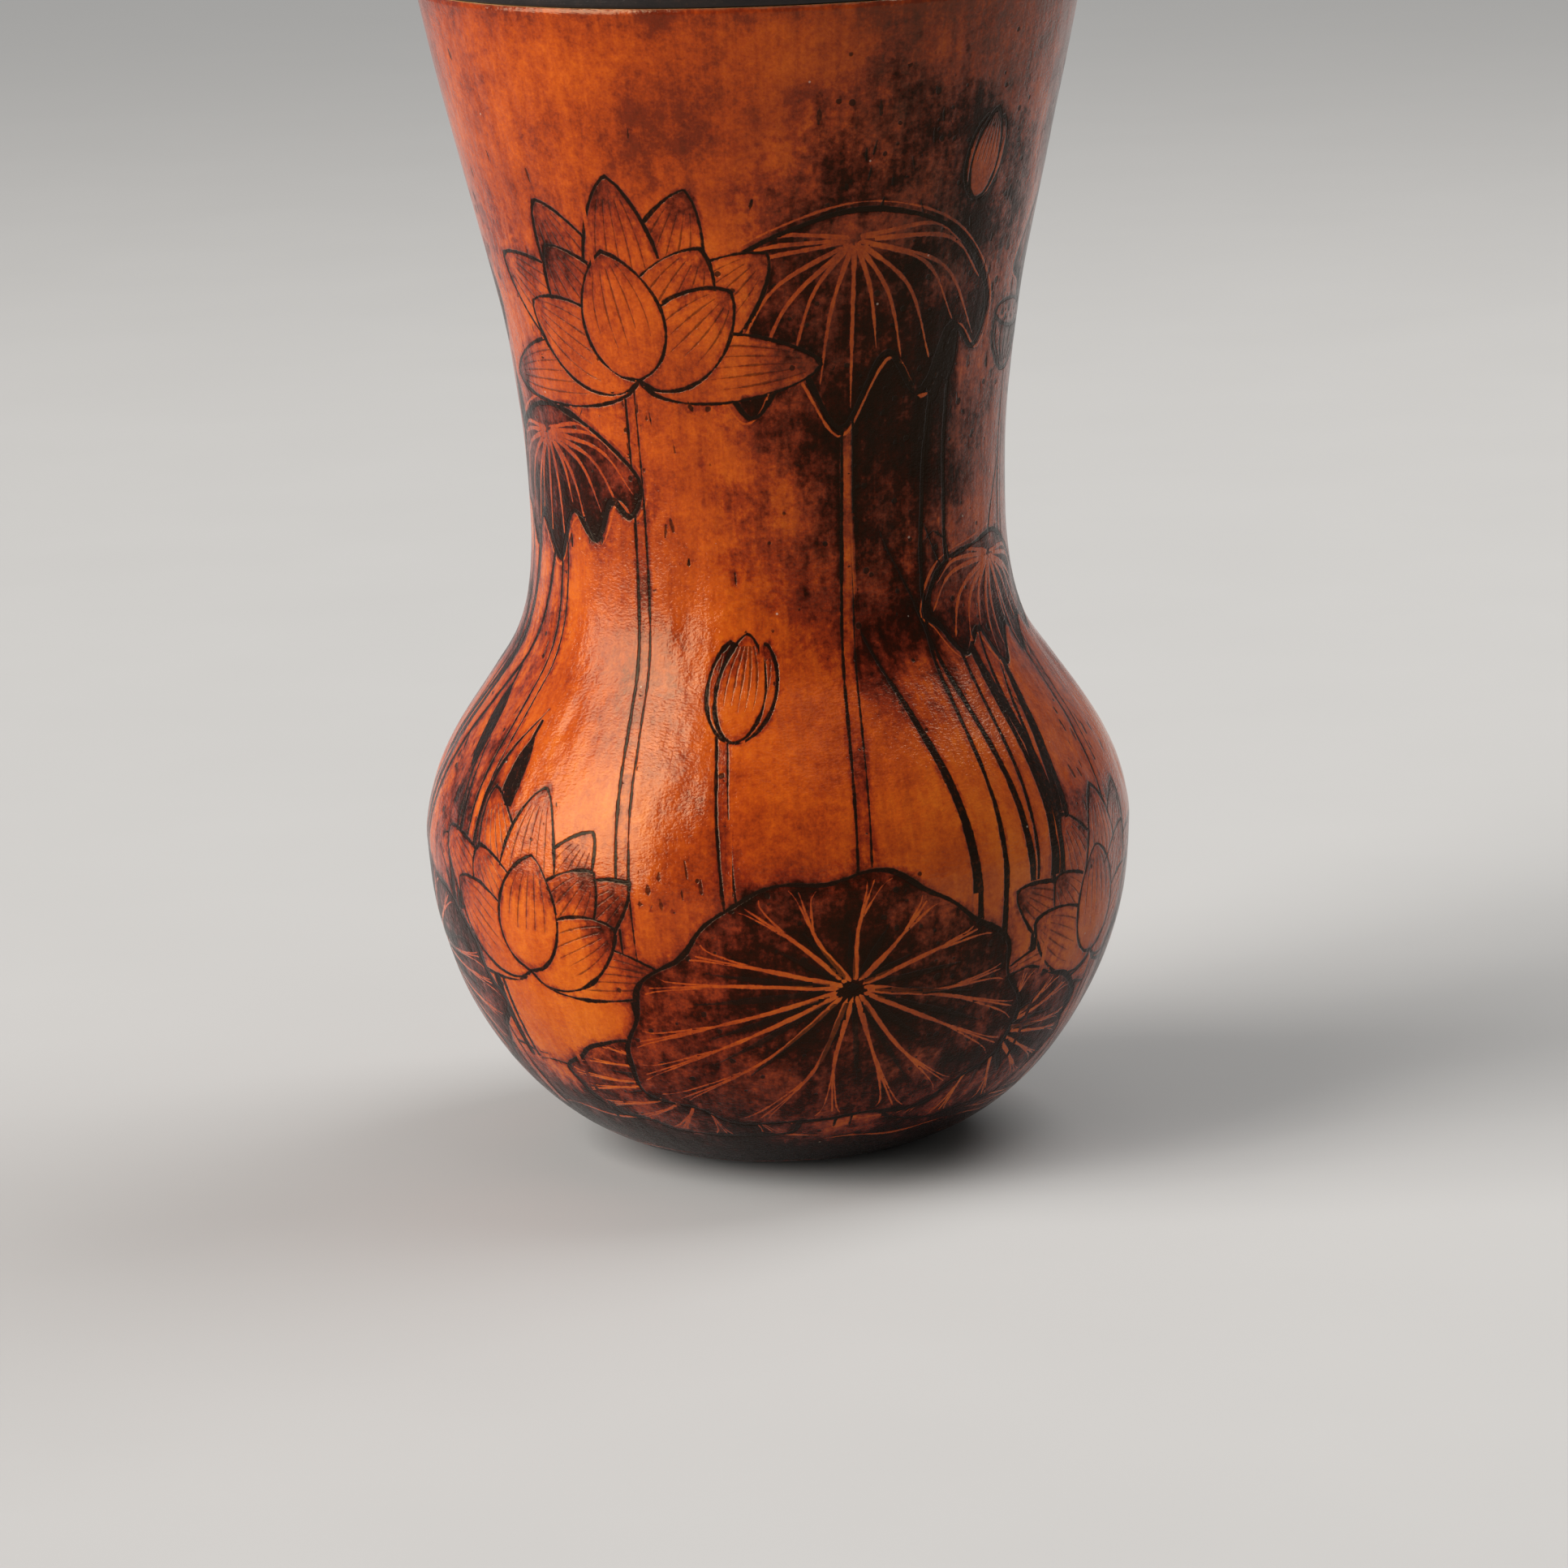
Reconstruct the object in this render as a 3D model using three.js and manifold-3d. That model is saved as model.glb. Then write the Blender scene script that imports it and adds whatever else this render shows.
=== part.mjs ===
// A gourd cricket cage: a dried bottle gourd cut open at the mouth, with a turned hardwood ring
// on the cut, a tamped bed in its belly, a brass sound coil hung in its throat, and a lift-off
// lid with an openwork screen. Millimetres, +Z up, origin at the centre of the base.
import * as THREE from "three";
import { mergeVertices } from "three/addons/utils/BufferGeometryUtils.js";
import Module from "manifold-3d";

const wasm = await Module();
wasm.setup();

// Gourd, outside
const BASE_RADIUS = 10; // flat ring that it stands on
const NAVEL_RADIUS = 4; // hollow left by the blossom, under the base
const NAVEL_DEPTH = 0.9;
const BELLY_RADIUS = 34.5;
const BELLY_HEIGHT = 31; // widest place, above the base
const SHOULDER_RISE = 16; // from the belly to where the outline turns from full to hollow
const SHOULDER_SHARE = 0.4; // how far out that place lies, on the way from neck to belly
const SHOULDER_SLOPE = 57.4; // degrees from level
const NECK_RADIUS = 23.25;
const NECK_RISE = 15.5; // from that place to the narrowest
const MOUTH_RADIUS = 32;
const MOUTH_LEAN = 10.3; // degrees that the wall leans out at the mouth
const FLARE_HEIGHT = 52; // from the narrowest place to the cut mouth

// How far the outline keeps its direction at each of those places before it bends
const BASE_PULL = 13;
const BOWL_PULL = 15.4;
const BELLY_PULL = 7.6;
const SHOULDER_PULL = 3.8;
const NECK_PULL = 10.4;
const FLARE_PULL = 18;
const MOUTH_PULL = 20.3;

// Gourd, inside
const WALL = 2.6;
const BED_HEIGHT = 9; // tamped bed, at the middle
const BED_SLOPE = 12; // degrees, rising to the back

// Mouth ring
const RING_HEIGHT = 6.5; // above the cut mouth
const RING_SWELL = 0.7; // how far its side curves out
const RING_DRAW_IN = 0.9; // how much narrower it is at the top
const TENON_DEPTH = 7; // tapered tenon inside the mouth
const TENON_WALL = 2; // at its thin lower end
const LEDGE_WIDTH = 1.3; // carries the coil's hoop
const LEDGE_HEIGHT = 1.4;

// Sound coil
const HOOP_WALL = 0.8;
const HOOP_HEIGHT = 2.6;
const WIRE_DIAMETER = 0.9;
const WIRE_BEND = 1.8; // radius at the bend next to the hoop
const COIL_TURNS = 6;
const COIL_DROP = 12; // from the hoop to the free end
const COIL_EYE = 3.4; // radius of the innermost turn's end

// Lid
const FRAME_HEIGHT = 4; // above the mouth ring
const FRAME_ROUND = 1.6; // rounded upper edge
const PLUG_DEPTH = 5;
const PLUG_WALL = 2.2;
const SCREEN_SEAT = 1.8; // width of the rebate that holds the screen
const LIP_HEIGHT = 1.8; // wood left above that rebate
const SCREEN_THICKNESS = 1.4;
const SCREEN_RISE = 6; // dome, above its own rim
const SCREEN_BAR = 1.1; // wood left between two holes
const SCREEN_BORDER = 1.5; // wood left between the holes and the dome's edge
const BOSS_RADIUS = 2.6;
const PETAL_COUNTS = [8, 16, 24]; // holes in each ring, from the boss outwards
const RETAINER_HEIGHT = 1.8;
const RETAINER_WIDTH = 1.5;

// Fits
const GLUE_GAP = 0.3; // between round faces that are glued or pressed together
const LID_CLEARANCE = 0.35; // round the lid's plug and the coil's hoop

// Facets
const ROUND_SIDES = 48;
const CURVE_STEPS = 7;
const EDGE_STEPS = 4;
const PETAL_STEPS = 6;
const LOOP_STEPS = 24;
const WIRE_SIDES = 6;
const BEND_STEPS = 4;

// Colours and finishes
const lacqueredGourd = new THREE.MeshStandardMaterial({ color: 0xb5642a, roughness: 0.38, metalness: 0 });
const blackHardwood = new THREE.MeshStandardMaterial({ color: 0x1d1512, roughness: 0.35, metalness: 0 });
const boxwood = new THREE.MeshStandardMaterial({ color: 0xc29352, roughness: 0.5, metalness: 0 });
const tampedClay = new THREE.MeshStandardMaterial({ color: 0xa98d6c, roughness: 0.95, metalness: 0 });
const brass = new THREE.MeshStandardMaterial({ color: 0xb08a44, roughness: 0.35, metalness: 1 });

// Heights and radii that follow from the sizes above
const shoulderHeight = BELLY_HEIGHT + SHOULDER_RISE;
const neckHeight = shoulderHeight + NECK_RISE;
const mouthHeight = neckHeight + FLARE_HEIGHT;
const ringTop = mouthHeight + RING_HEIGHT;
const tenonBottom = mouthHeight - TENON_DEPTH;
const ledgeTop = tenonBottom + LEDGE_HEIGHT;
const gourdOutline = outsideOfGourd();
const tenonRadius = radiusAt(inset(gourdOutline, WALL), tenonBottom) - GLUE_GAP;
const ringBore = tenonRadius - TENON_WALL;
const ringTopRadius = MOUTH_RADIUS - RING_DRAW_IN;
const hoopRadius = ringBore - LID_CLEARANCE;
const plugRadius = ringBore - LID_CLEARANCE;
const rebateRadius = plugRadius - PLUG_WALL;
const windowRadius = rebateRadius - SCREEN_SEAT;
const frameTop = ringTop + FRAME_HEIGHT;
const screenTop = frameTop - LIP_HEIGHT;
const retainerTop = screenTop - SCREEN_THICKNESS;
const domeRadius = windowRadius - GLUE_GAP;

// Outline helpers: an outline runs outwards from the axis at the bottom, up the outside

function point(x, y) {
  return new THREE.Vector2(x, y);
}

function outsideOfGourd() {
  const shoulderRadius = NECK_RADIUS + (BELLY_RADIUS - NECK_RADIUS) * SHOULDER_SHARE;
  const slope = THREE.MathUtils.degToRad(SHOULDER_SLOPE);
  const pullIn = SHOULDER_PULL * Math.cos(slope);
  const pullUp = SHOULDER_PULL * Math.sin(slope);
  const lean = THREE.MathUtils.degToRad(MOUTH_LEAN);
  const outline = new THREE.Path();
  outline.moveTo(BASE_RADIUS, 0);
  outline.bezierCurveTo(
    BASE_RADIUS + BASE_PULL, 0,
    BELLY_RADIUS, BELLY_HEIGHT - BOWL_PULL,
    BELLY_RADIUS, BELLY_HEIGHT);
  outline.bezierCurveTo(
    BELLY_RADIUS, BELLY_HEIGHT + BELLY_PULL,
    shoulderRadius + pullIn, shoulderHeight - pullUp,
    shoulderRadius, shoulderHeight);
  outline.bezierCurveTo(
    shoulderRadius - pullIn, shoulderHeight + pullUp,
    NECK_RADIUS, neckHeight - NECK_PULL,
    NECK_RADIUS, neckHeight);
  outline.bezierCurveTo(
    NECK_RADIUS, neckHeight + FLARE_PULL,
    MOUTH_RADIUS - MOUTH_PULL * Math.sin(lean), mouthHeight - MOUTH_PULL * Math.cos(lean),
    MOUTH_RADIUS, mouthHeight);
  return outline.getPoints(CURVE_STEPS);
}

// The same outline, a distance further in
function inset(outline, distance) {
  return outline.map((here, index) => {
    const before = outline[Math.max(index - 1, 0)];
    const after = outline[Math.min(index + 1, outline.length - 1)];
    const along = after.clone().sub(before).normalize();
    return point(here.x - along.y * distance, here.y + along.x * distance);
  });
}

function radiusAt(outline, height) {
  const above = outline.findIndex((here) => here.y >= height);
  const low = outline[above - 1];
  const high = outline[above];
  return THREE.MathUtils.mapLinear(height, low.y, high.y, low.x, high.x);
}

// The part of an outline below a height, ending exactly on it
function cutLevel(outline, height) {
  const below = outline.filter((here) => here.y < height);
  return [...below, point(radiusAt(outline, height), height)];
}

// Solid helpers

function turned(outline) {
  const geometry = new THREE.LatheGeometry(outline, ROUND_SIDES);
  geometry.rotateX(Math.PI / 2);
  return geometry;
}

function turnedRing(path) {
  const outline = path.getPoints(EDGE_STEPS);
  return turned([...outline, outline[0].clone()]);
}

function solidOf(geometry) {
  const bare = geometry.clone();
  bare.deleteAttribute("normal");
  bare.deleteAttribute("uv");
  const merged = mergeVertices(bare);
  return new wasm.Manifold(new wasm.Mesh({
    numProp: 3,
    vertProperties: new Float32Array(merged.attributes.position.array),
    triVerts: new Uint32Array(merged.index.array),
  }));
}

function geometryOf(solid) {
  const { vertProperties, triVerts } = solid.getMesh();
  return meshGeometry(vertProperties, triVerts);
}

function meshGeometry(positions, triangles) {
  const geometry = new THREE.BufferGeometry();
  geometry.setAttribute("position", new THREE.Float32BufferAttribute(positions, 3));
  geometry.setIndex(Array.from(triangles));
  geometry.computeVertexNormals();
  return geometry;
}

// Sub-parts

function gourdShell() {
  const navel = [0, 0.5, 1].map((share) => {
    return point(NAVEL_RADIUS * share, NAVEL_DEPTH * (1 - share * share));
  });
  const inside = cutLevel(inset(gourdOutline, WALL), mouthHeight);
  return turned([...navel, ...gourdOutline, ...inside.reverse(), point(0, WALL)]);
}

// The bed fills the bottom of the hollow, up to a sloping face
function tampedBed() {
  const side = inset(gourdOutline, WALL + GLUE_GAP).filter((here) => here.y < BELLY_HEIGHT);
  const bottom = point(0, WALL + GLUE_GAP);
  const filled = turned([bottom, ...side, point(0, side.at(-1).y)]);
  const reach = 4 * BELLY_RADIUS;
  const below = new THREE.BoxGeometry(reach, reach, reach);
  below.translate(0, 0, -reach / 2);
  below.rotateX(THREE.MathUtils.degToRad(BED_SLOPE));
  below.translate(0, 0, BED_HEIGHT);
  return geometryOf(solidOf(filled).intersect(solidOf(below)));
}

function mouthRing() {
  const hollow = inset(gourdOutline, WALL + GLUE_GAP);
  const taper = cutLevel(hollow, mouthHeight).filter((here) => here.y > tenonBottom);
  const ring = new THREE.Path();
  ring.moveTo(ringBore - LEDGE_WIDTH, tenonBottom);
  ring.lineTo(tenonRadius, tenonBottom);
  taper.forEach((here) => ring.lineTo(here.x, here.y));
  ring.lineTo(MOUTH_RADIUS, mouthHeight);
  ring.quadraticCurveTo(MOUTH_RADIUS + RING_SWELL, mouthHeight + RING_HEIGHT / 2, ringTopRadius, ringTop);
  ring.lineTo(ringBore, ringTop);
  ring.lineTo(ringBore, ledgeTop);
  ring.lineTo(ringBore - LEDGE_WIDTH, ledgeTop);
  return turnedRing(ring);
}

function plainRing(inner, outer, bottom, top) {
  const ring = new THREE.Path();
  ring.moveTo(inner, bottom);
  ring.lineTo(outer, bottom);
  ring.lineTo(outer, top);
  ring.lineTo(inner, top);
  return turnedRing(ring);
}

// The wire leaves the hoop square, bends round and winds inwards and down to a free end
function coilRoute() {
  const level = ledgeTop + HOOP_HEIGHT / 2;
  const start = hoopRadius - HOOP_WALL - GLUE_GAP;
  const bendStart = start - WIRE_DIAMETER;
  const route = [new THREE.Vector3(start, 0, level)];
  for (let step = 0; step <= BEND_STEPS; step += 1) {
    const turn = (Math.PI / 2) * (step / BEND_STEPS);
    const x = bendStart - WIRE_BEND * Math.sin(turn);
    const y = WIRE_BEND * (1 - Math.cos(turn));
    route.push(new THREE.Vector3(x, y, level));
  }
  const outermost = Math.hypot(bendStart - WIRE_BEND, WIRE_BEND);
  const firstAngle = Math.atan2(WIRE_BEND, bendStart - WIRE_BEND);
  const steps = COIL_TURNS * LOOP_STEPS;
  for (let step = 1; step <= steps; step += 1) {
    const share = step / steps;
    const angle = firstAngle + 2 * Math.PI * (step / LOOP_STEPS);
    const radius = THREE.MathUtils.lerp(outermost, COIL_EYE, share);
    const height = level - COIL_DROP * share;
    route.push(new THREE.Vector3(radius * Math.cos(angle), radius * Math.sin(angle), height));
  }
  const last = route.at(-1);
  const onward = last.clone().sub(route.at(-2)).setLength(WIRE_DIAMETER);
  return [...route, last.clone().add(onward)];
}

function leastGap(route) {
  let least = Infinity;
  for (let first = 0; first < route.length; first += 1) {
    for (let second = first + LOOP_STEPS / 2; second < route.length; second += 1) {
      least = Math.min(least, route[first].distanceTo(route[second]));
    }
  }
  return least - WIRE_DIAMETER;
}

function soundCoil() {
  const route = coilRoute();
  console.log(`sound_coil: least gap between turns ${leastGap(route).toFixed(2)} mm`);
  const upright = new THREE.Vector3(0, 0, 1);
  const positions = [];
  route.forEach((centre, index) => {
    const before = route[Math.max(index - 1, 0)];
    const after = route[Math.min(index + 1, route.length - 1)];
    const along = after.clone().sub(before).normalize();
    const side = along.clone().cross(upright).normalize();
    const up = side.clone().cross(along);
    for (let corner = 0; corner < WIRE_SIDES; corner += 1) {
      const turn = (2 * Math.PI * corner) / WIRE_SIDES;
      const out = side.clone().multiplyScalar(Math.cos(turn)).addScaledVector(up, Math.sin(turn));
      positions.push(...centre.clone().addScaledVector(out, WIRE_DIAMETER / 2).toArray());
    }
  });
  const triangles = [];
  const lastRing = (route.length - 1) * WIRE_SIDES;
  for (let ring = 0; ring < lastRing; ring += WIRE_SIDES) {
    for (let corner = 0; corner < WIRE_SIDES; corner += 1) {
      const next = (corner + 1) % WIRE_SIDES;
      const far = ring + WIRE_SIDES;
      triangles.push(ring + corner, far + corner, far + next);
      triangles.push(ring + corner, far + next, ring + next);
    }
  }
  for (let corner = 1; corner < WIRE_SIDES - 1; corner += 1) {
    triangles.push(0, corner, corner + 1);
    triangles.push(lastRing, lastRing + corner + 1, lastRing + corner);
  }
  return meshGeometry(positions, triangles);
}

function lidFrame() {
  const frame = new THREE.Path();
  frame.moveTo(rebateRadius, ringTop - PLUG_DEPTH);
  frame.lineTo(plugRadius, ringTop - PLUG_DEPTH);
  frame.lineTo(plugRadius, ringTop);
  frame.lineTo(ringTopRadius, ringTop);
  frame.lineTo(ringTopRadius, frameTop - FRAME_ROUND);
  frame.quadraticCurveTo(ringTopRadius, frameTop, ringTopRadius - FRAME_ROUND, frameTop);
  frame.lineTo(windowRadius, frameTop);
  frame.lineTo(windowRadius, screenTop);
  frame.lineTo(rebateRadius, screenTop);
  return turnedRing(frame);
}

// A teardrop hole, pointed towards the middle of the screen
function petalHole(inner, outer, count, angle) {
  const widest = THREE.MathUtils.lerp(inner, outer, 0.62);
  const halfWidth = (Math.PI * widest) / count - SCREEN_BAR / 2;
  const pull = halfWidth / 0.75;
  const waist = THREE.MathUtils.lerp(inner, outer, 0.4);
  const petal = new THREE.Path();
  petal.moveTo(inner, 0);
  petal.bezierCurveTo(waist, pull, outer, pull, outer, 0);
  petal.bezierCurveTo(outer, -pull, waist, -pull, inner, 0);
  const corners = petal.getPoints(PETAL_STEPS).slice(0, -1);
  const middle = point(0, 0);
  corners.forEach((corner) => corner.rotateAround(middle, angle));
  return new THREE.Path(corners);
}

function petalRing(inner, outer, count, shift) {
  const holes = [];
  for (let index = 0; index < count; index += 1) {
    holes.push(petalHole(inner, outer, count, (2 * Math.PI * (index + shift)) / count));
  }
  return holes;
}

function lidScreen() {
  const edge = [];
  for (let side = 0; side < ROUND_SIDES; side += 1) {
    const angle = (2 * Math.PI * side) / ROUND_SIDES;
    edge.push(point(domeRadius * Math.cos(angle), domeRadius * Math.sin(angle)));
  }
  const disc = new THREE.Shape(edge);
  const ringWidth = (domeRadius - SCREEN_BORDER - BOSS_RADIUS + SCREEN_BAR) / PETAL_COUNTS.length;
  PETAL_COUNTS.forEach((count, ring) => {
    const inner = BOSS_RADIUS + ring * ringWidth;
    disc.holes.push(...petalRing(inner, inner + ringWidth - SCREEN_BAR, count, ring / 2));
  });
  const dome = new THREE.ExtrudeGeometry(disc, { depth: SCREEN_THICKNESS, bevelEnabled: false });
  const places = dome.attributes.position;
  for (let index = 0; index < places.count; index += 1) {
    const share = Math.hypot(places.getX(index), places.getY(index)) / domeRadius;
    const rise = SCREEN_RISE * (1 - share * share);
    places.setZ(index, places.getZ(index) + retainerTop + rise);
  }
  const rim = plainRing(domeRadius - SCREEN_BORDER / 3, rebateRadius - GLUE_GAP, retainerTop, screenTop);
  return geometryOf(solidOf(dome).add(solidOf(rim)));
}

function lidRetainingRing() {
  const outer = rebateRadius - GLUE_GAP;
  return plainRing(outer - RETAINER_WIDTH, outer, retainerTop - RETAINER_HEIGHT, retainerTop);
}

function coilHoop() {
  return plainRing(hoopRadius - HOOP_WALL, hoopRadius, ledgeTop, ledgeTop + HOOP_HEIGHT);
}

const cage = new THREE.Group();

function addPart(name, geometry, material) {
  const mesh = new THREE.Mesh(geometry, material);
  mesh.name = name;
  cage.add(mesh);
}

addPart("gourd_shell", gourdShell(), lacqueredGourd);
addPart("tamped_bed", tampedBed(), tampedClay);
addPart("mouth_ring", mouthRing(), blackHardwood);
addPart("coil_hoop", coilHoop(), brass);
addPart("sound_coil", soundCoil(), brass);
addPart("lid_frame", lidFrame(), blackHardwood);
addPart("lid_screen", lidScreen(), boxwood);
addPart("lid_retaining_ring", lidRetainingRing(), blackHardwood);

export default cage;
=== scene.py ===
"""Looks of the gourd cricket cage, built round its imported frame: metres, +Z up, front towards -Y."""

import math

import bpy
import numpy as np
from mathutils import Matrix, Vector


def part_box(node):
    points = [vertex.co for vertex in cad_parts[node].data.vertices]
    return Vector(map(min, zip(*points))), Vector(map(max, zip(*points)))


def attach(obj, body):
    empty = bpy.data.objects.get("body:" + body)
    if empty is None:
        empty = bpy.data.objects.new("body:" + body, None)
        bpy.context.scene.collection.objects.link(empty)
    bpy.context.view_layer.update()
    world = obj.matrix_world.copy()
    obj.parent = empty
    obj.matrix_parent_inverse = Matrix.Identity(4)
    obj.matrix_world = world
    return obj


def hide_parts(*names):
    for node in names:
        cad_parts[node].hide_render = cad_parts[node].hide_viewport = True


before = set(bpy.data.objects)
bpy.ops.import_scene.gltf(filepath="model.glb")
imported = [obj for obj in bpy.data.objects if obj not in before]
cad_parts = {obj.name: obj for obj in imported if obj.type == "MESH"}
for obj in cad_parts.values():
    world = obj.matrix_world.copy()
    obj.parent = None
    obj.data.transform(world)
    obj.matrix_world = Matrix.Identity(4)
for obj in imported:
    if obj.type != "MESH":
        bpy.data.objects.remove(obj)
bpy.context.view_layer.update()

# Lengths below are in millimetres unless a comment says otherwise. The meshes are made in metres.
MM = 0.001
ON_AXIS = 0.1  # a point of the CAD mesh this near to the axis, or to the floor, lies on it
ON_CUT = 0.01  # and this near to a section, in the section
MERGED = 0.005  # points of a pattern this near to each other become one

# Camera, as it stood for the photograph
FRAME_PIXELS = 1932
BASE_PIXEL = (971.9, 1390.5)  # where the middle of the base shows
CAMERA_DISTANCE = 650
CAMERA_PITCH = math.radians(12.4)
CAMERA_ROLL = 0.034
LENS = 100
SENSOR = 24
NEAREST_SEEN = 10

# Studio
FLOOR_HALF = 7  # metres
FLOOR_FADE = (420, 1500)  # where the floor passes into the backdrop
SURROUND = 0.1
BACKDROP = 0.36
BACKDROP_COLOUR = (1, 0.99, 0.97, 1)
LAMP_AIM = 60  # the height that the lamps point at
WARM = (1, 0.97, 0.94)
WHITE = (1, 1, 1)
# Lamps: degrees round from the front, degrees up, metres away, size in metres, watts, colour
LIGHTS = (
    ("softbox_near_edge", -50, 27, 4, (0.98, 4), 80, WARM),
    ("softbox_middle", -65, 27, 4, (1.12, 4), 105, WARM),
    ("softbox_far_edge", -84, 27, 4, (1.4, 4), 101, WARM),
    ("right_back_light", 116, 56, 1.2, (0.7, 0.75), 7.5, WHITE),
    ("top_light", 60, 84, 1.6, (1.6, 1.6), 4.2, WHITE))

# Gourd skin
COLUMNS = 384
OUTSIDE_ROWS = 206
NAVEL_ROWS = 4
STAND_ROWS = 4
LIP_ROWS = 4
INSIDE_ROWS = 14
NAVEL_START = 0.12  # the navel's first row, as a share of its rim
HIDDEN_ROOM = 0.15  # room on the map for rows under the foot and inside, against those outside
SKIN_SEED = 7
UNEVENNESS = 0.22
SKIN_LOBES = (2, 3, 4, 5, 7, 11)
# Small dents: how many, their middle height and its spread along the skin, their size and depth
DENTS = ((70, 52, 6, 1.2, 0.14), (60, 46, 14, 3, 0.2), (60, 95, 22, 4, 0.16))
EVEN_FOOT = 12  # the unevenness grows over this run from the foot
EVEN_MOUTH = 14  # and fades over this run to the mouth
BURN_DEPTH = 0.1
STREAK_RADIUS = 28  # round which the fibre pattern runs
CURVE_STEPS = 24  # steps between two points of a smooth curve

# Burnt drawing
CHARRED = 1.0
BROWNED = 0.6
RESERVED = -1.0
FAR = 9.0
NO_STROKE = (FAR, 0.0, 0.0)  # distance, half width and ink where no stroke is near
STROKE_REACH = 0.9
PATCH_EDGE = 0.6  # over which scorching sets in at an outline
STALK_WIDTH = 1.3
RIM_POINTS = 128
LEAF_WAVES = ((2, 0.03), (3, 0.05), (8, 0.03), (13, 0.02))  # lobes round a leaf's rim, and their size
LEAF_VEINS = 17
LEAF_DARKNESS = 0.66
HATCHING = 0.75
SIDE_VEINS = 19
SIDE_DARKNESS = 0.6
WATER_SEED = 5
WATER_WAVES = ((1.6, 3, 1), (1.1, 7, 0), (0.6, 13, 0))  # height, waves round the gourd, phase
WATER_LINES = 90
WATER_EDGE = 22  # ripple lines are pale below this height and burnt above it

# Turned and wired pieces
TURNED_COLUMNS = 160
ARRIS = 0.35  # rounding of the turned edges
THIN_ARRIS = 0.25  # and of those on thin rings
SPACING = 0.4  # of the points along a turned outline
FINE_SPACING = 0.16  # and where lines are cut into it
NEARLY_STRAIGHT = -0.93  # cosine at a corner that needs no rounding
RING_SIDE = 1.4  # lines are cut into what lies this near to the outermost radius
LID_SIDE = 0.6
LID_TOP = 0.5  # or to the top
# Lines cut on the lathe: how far in from the edge, width and depth. The last one on the lid is a hollow.
RING_LINES = ((1.3, 0.13, 0.16), (1.75, 0.13, 0.16), (4.9, 0.13, 0.16))
LID_LINES = ((2.3, 0.13, 0.18), (2.75, 0.13, 0.18), (8.1, 0.13, 0.18), (8.55, 0.13, 0.18), (5.4, 1.7, 0.45))
LID_SIDE_LINE = (2.9, 0.14, 0.16)
WIRE = 0.9
WIRE_SIDES = 14
WIRE_BEND = 1.8
BEND_POINTS = 9
COIL_TURNS = 6
COIL_TURN_POINTS = 48
COIL_EYE = 3.4
SCREEN_SEAT = 1.8
SCREEN_THICKNESS = 1.4
SCREEN_BORDER = 1.5
SCREEN_BAR = 1.1
SCREEN_SIDES = 144
SCREEN_ARRIS = 0.16
SCREEN_ARRIS_ANGLE = math.radians(55)
BOSS_RADIUS = 2.6
PETAL_COUNTS = (8, 16, 24)
PETAL_WIDEST = 0.62  # share of a petal hole's length where it is widest
PETAL_POINTS = 15

# Colours. Those of patterns are stops: a value, and the colour there.
LACQUER_TINT = (1, 0.82, 0.5, 1)
AMBER = (
    (0.05, (0.07, 0.004, 0.0002)), (0.25, (0.15, 0.010, 0.0004)), (0.38, (0.30, 0.031, 0.0009)),
    (0.53, (0.44, 0.062, 0.0014)), (0.72, (0.57, 0.112, 0.004)), (0.9, (0.64, 0.16, 0.01)))
SCORCHED = (  # what scorching leaves of the amber
    (0, (1, 1, 1)), (0.22, (0.60, 0.34, 0.3)), (0.5, (0.25, 0.085, 0.1)), (0.78, (0.06, 0.02, 0.04)),
    (1, (0.018, 0.009, 0.02)))
CHAR = (0.008, 0.0022, 0.0015, 1)
GLUE = (0.22, 0.085, 0.035, 1)
SPECK = (0.55, 0.42, 0.33, 1)
PITH = ((0.2, (0.23, 0.10, 0.030)), (0.5, (0.42, 0.22, 0.080)), (0.8, (0.58, 0.36, 0.16)))
BLACK_WOOD = (
    (0.3, (0.0055, 0.0032, 0.0024)), (0.6, (0.012, 0.0065, 0.0044)), (0.85, (0.035, 0.016, 0.009)))
BOXWOOD = ((0.2, (0.32, 0.135, 0.03)), (0.5, (0.52, 0.27, 0.075)), (0.8, (0.64, 0.38, 0.135)))
BRIGHT_BRASS = (0.62, 0.40, 0.13, 1)
TARNISH = (0.30, 0.165, 0.05, 1)
CLAY = ((0.2, (0.24, 0.145, 0.072)), (0.5, (0.40, 0.27, 0.15)), (0.8, (0.55, 0.42, 0.28)))
PALE_FLOOR = ((0.3, (0.5, 0.495, 0.485)), (0.7, (0.51, 0.505, 0.495)))


# Node trees


def arithmetic(operation, swapped=False):
    """A method that adds a Math node, with its values swapped for the reflected form."""

    def method(self, other):
        return self.math(operation, *((other, self) if swapped else (self, other)))

    return method


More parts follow.
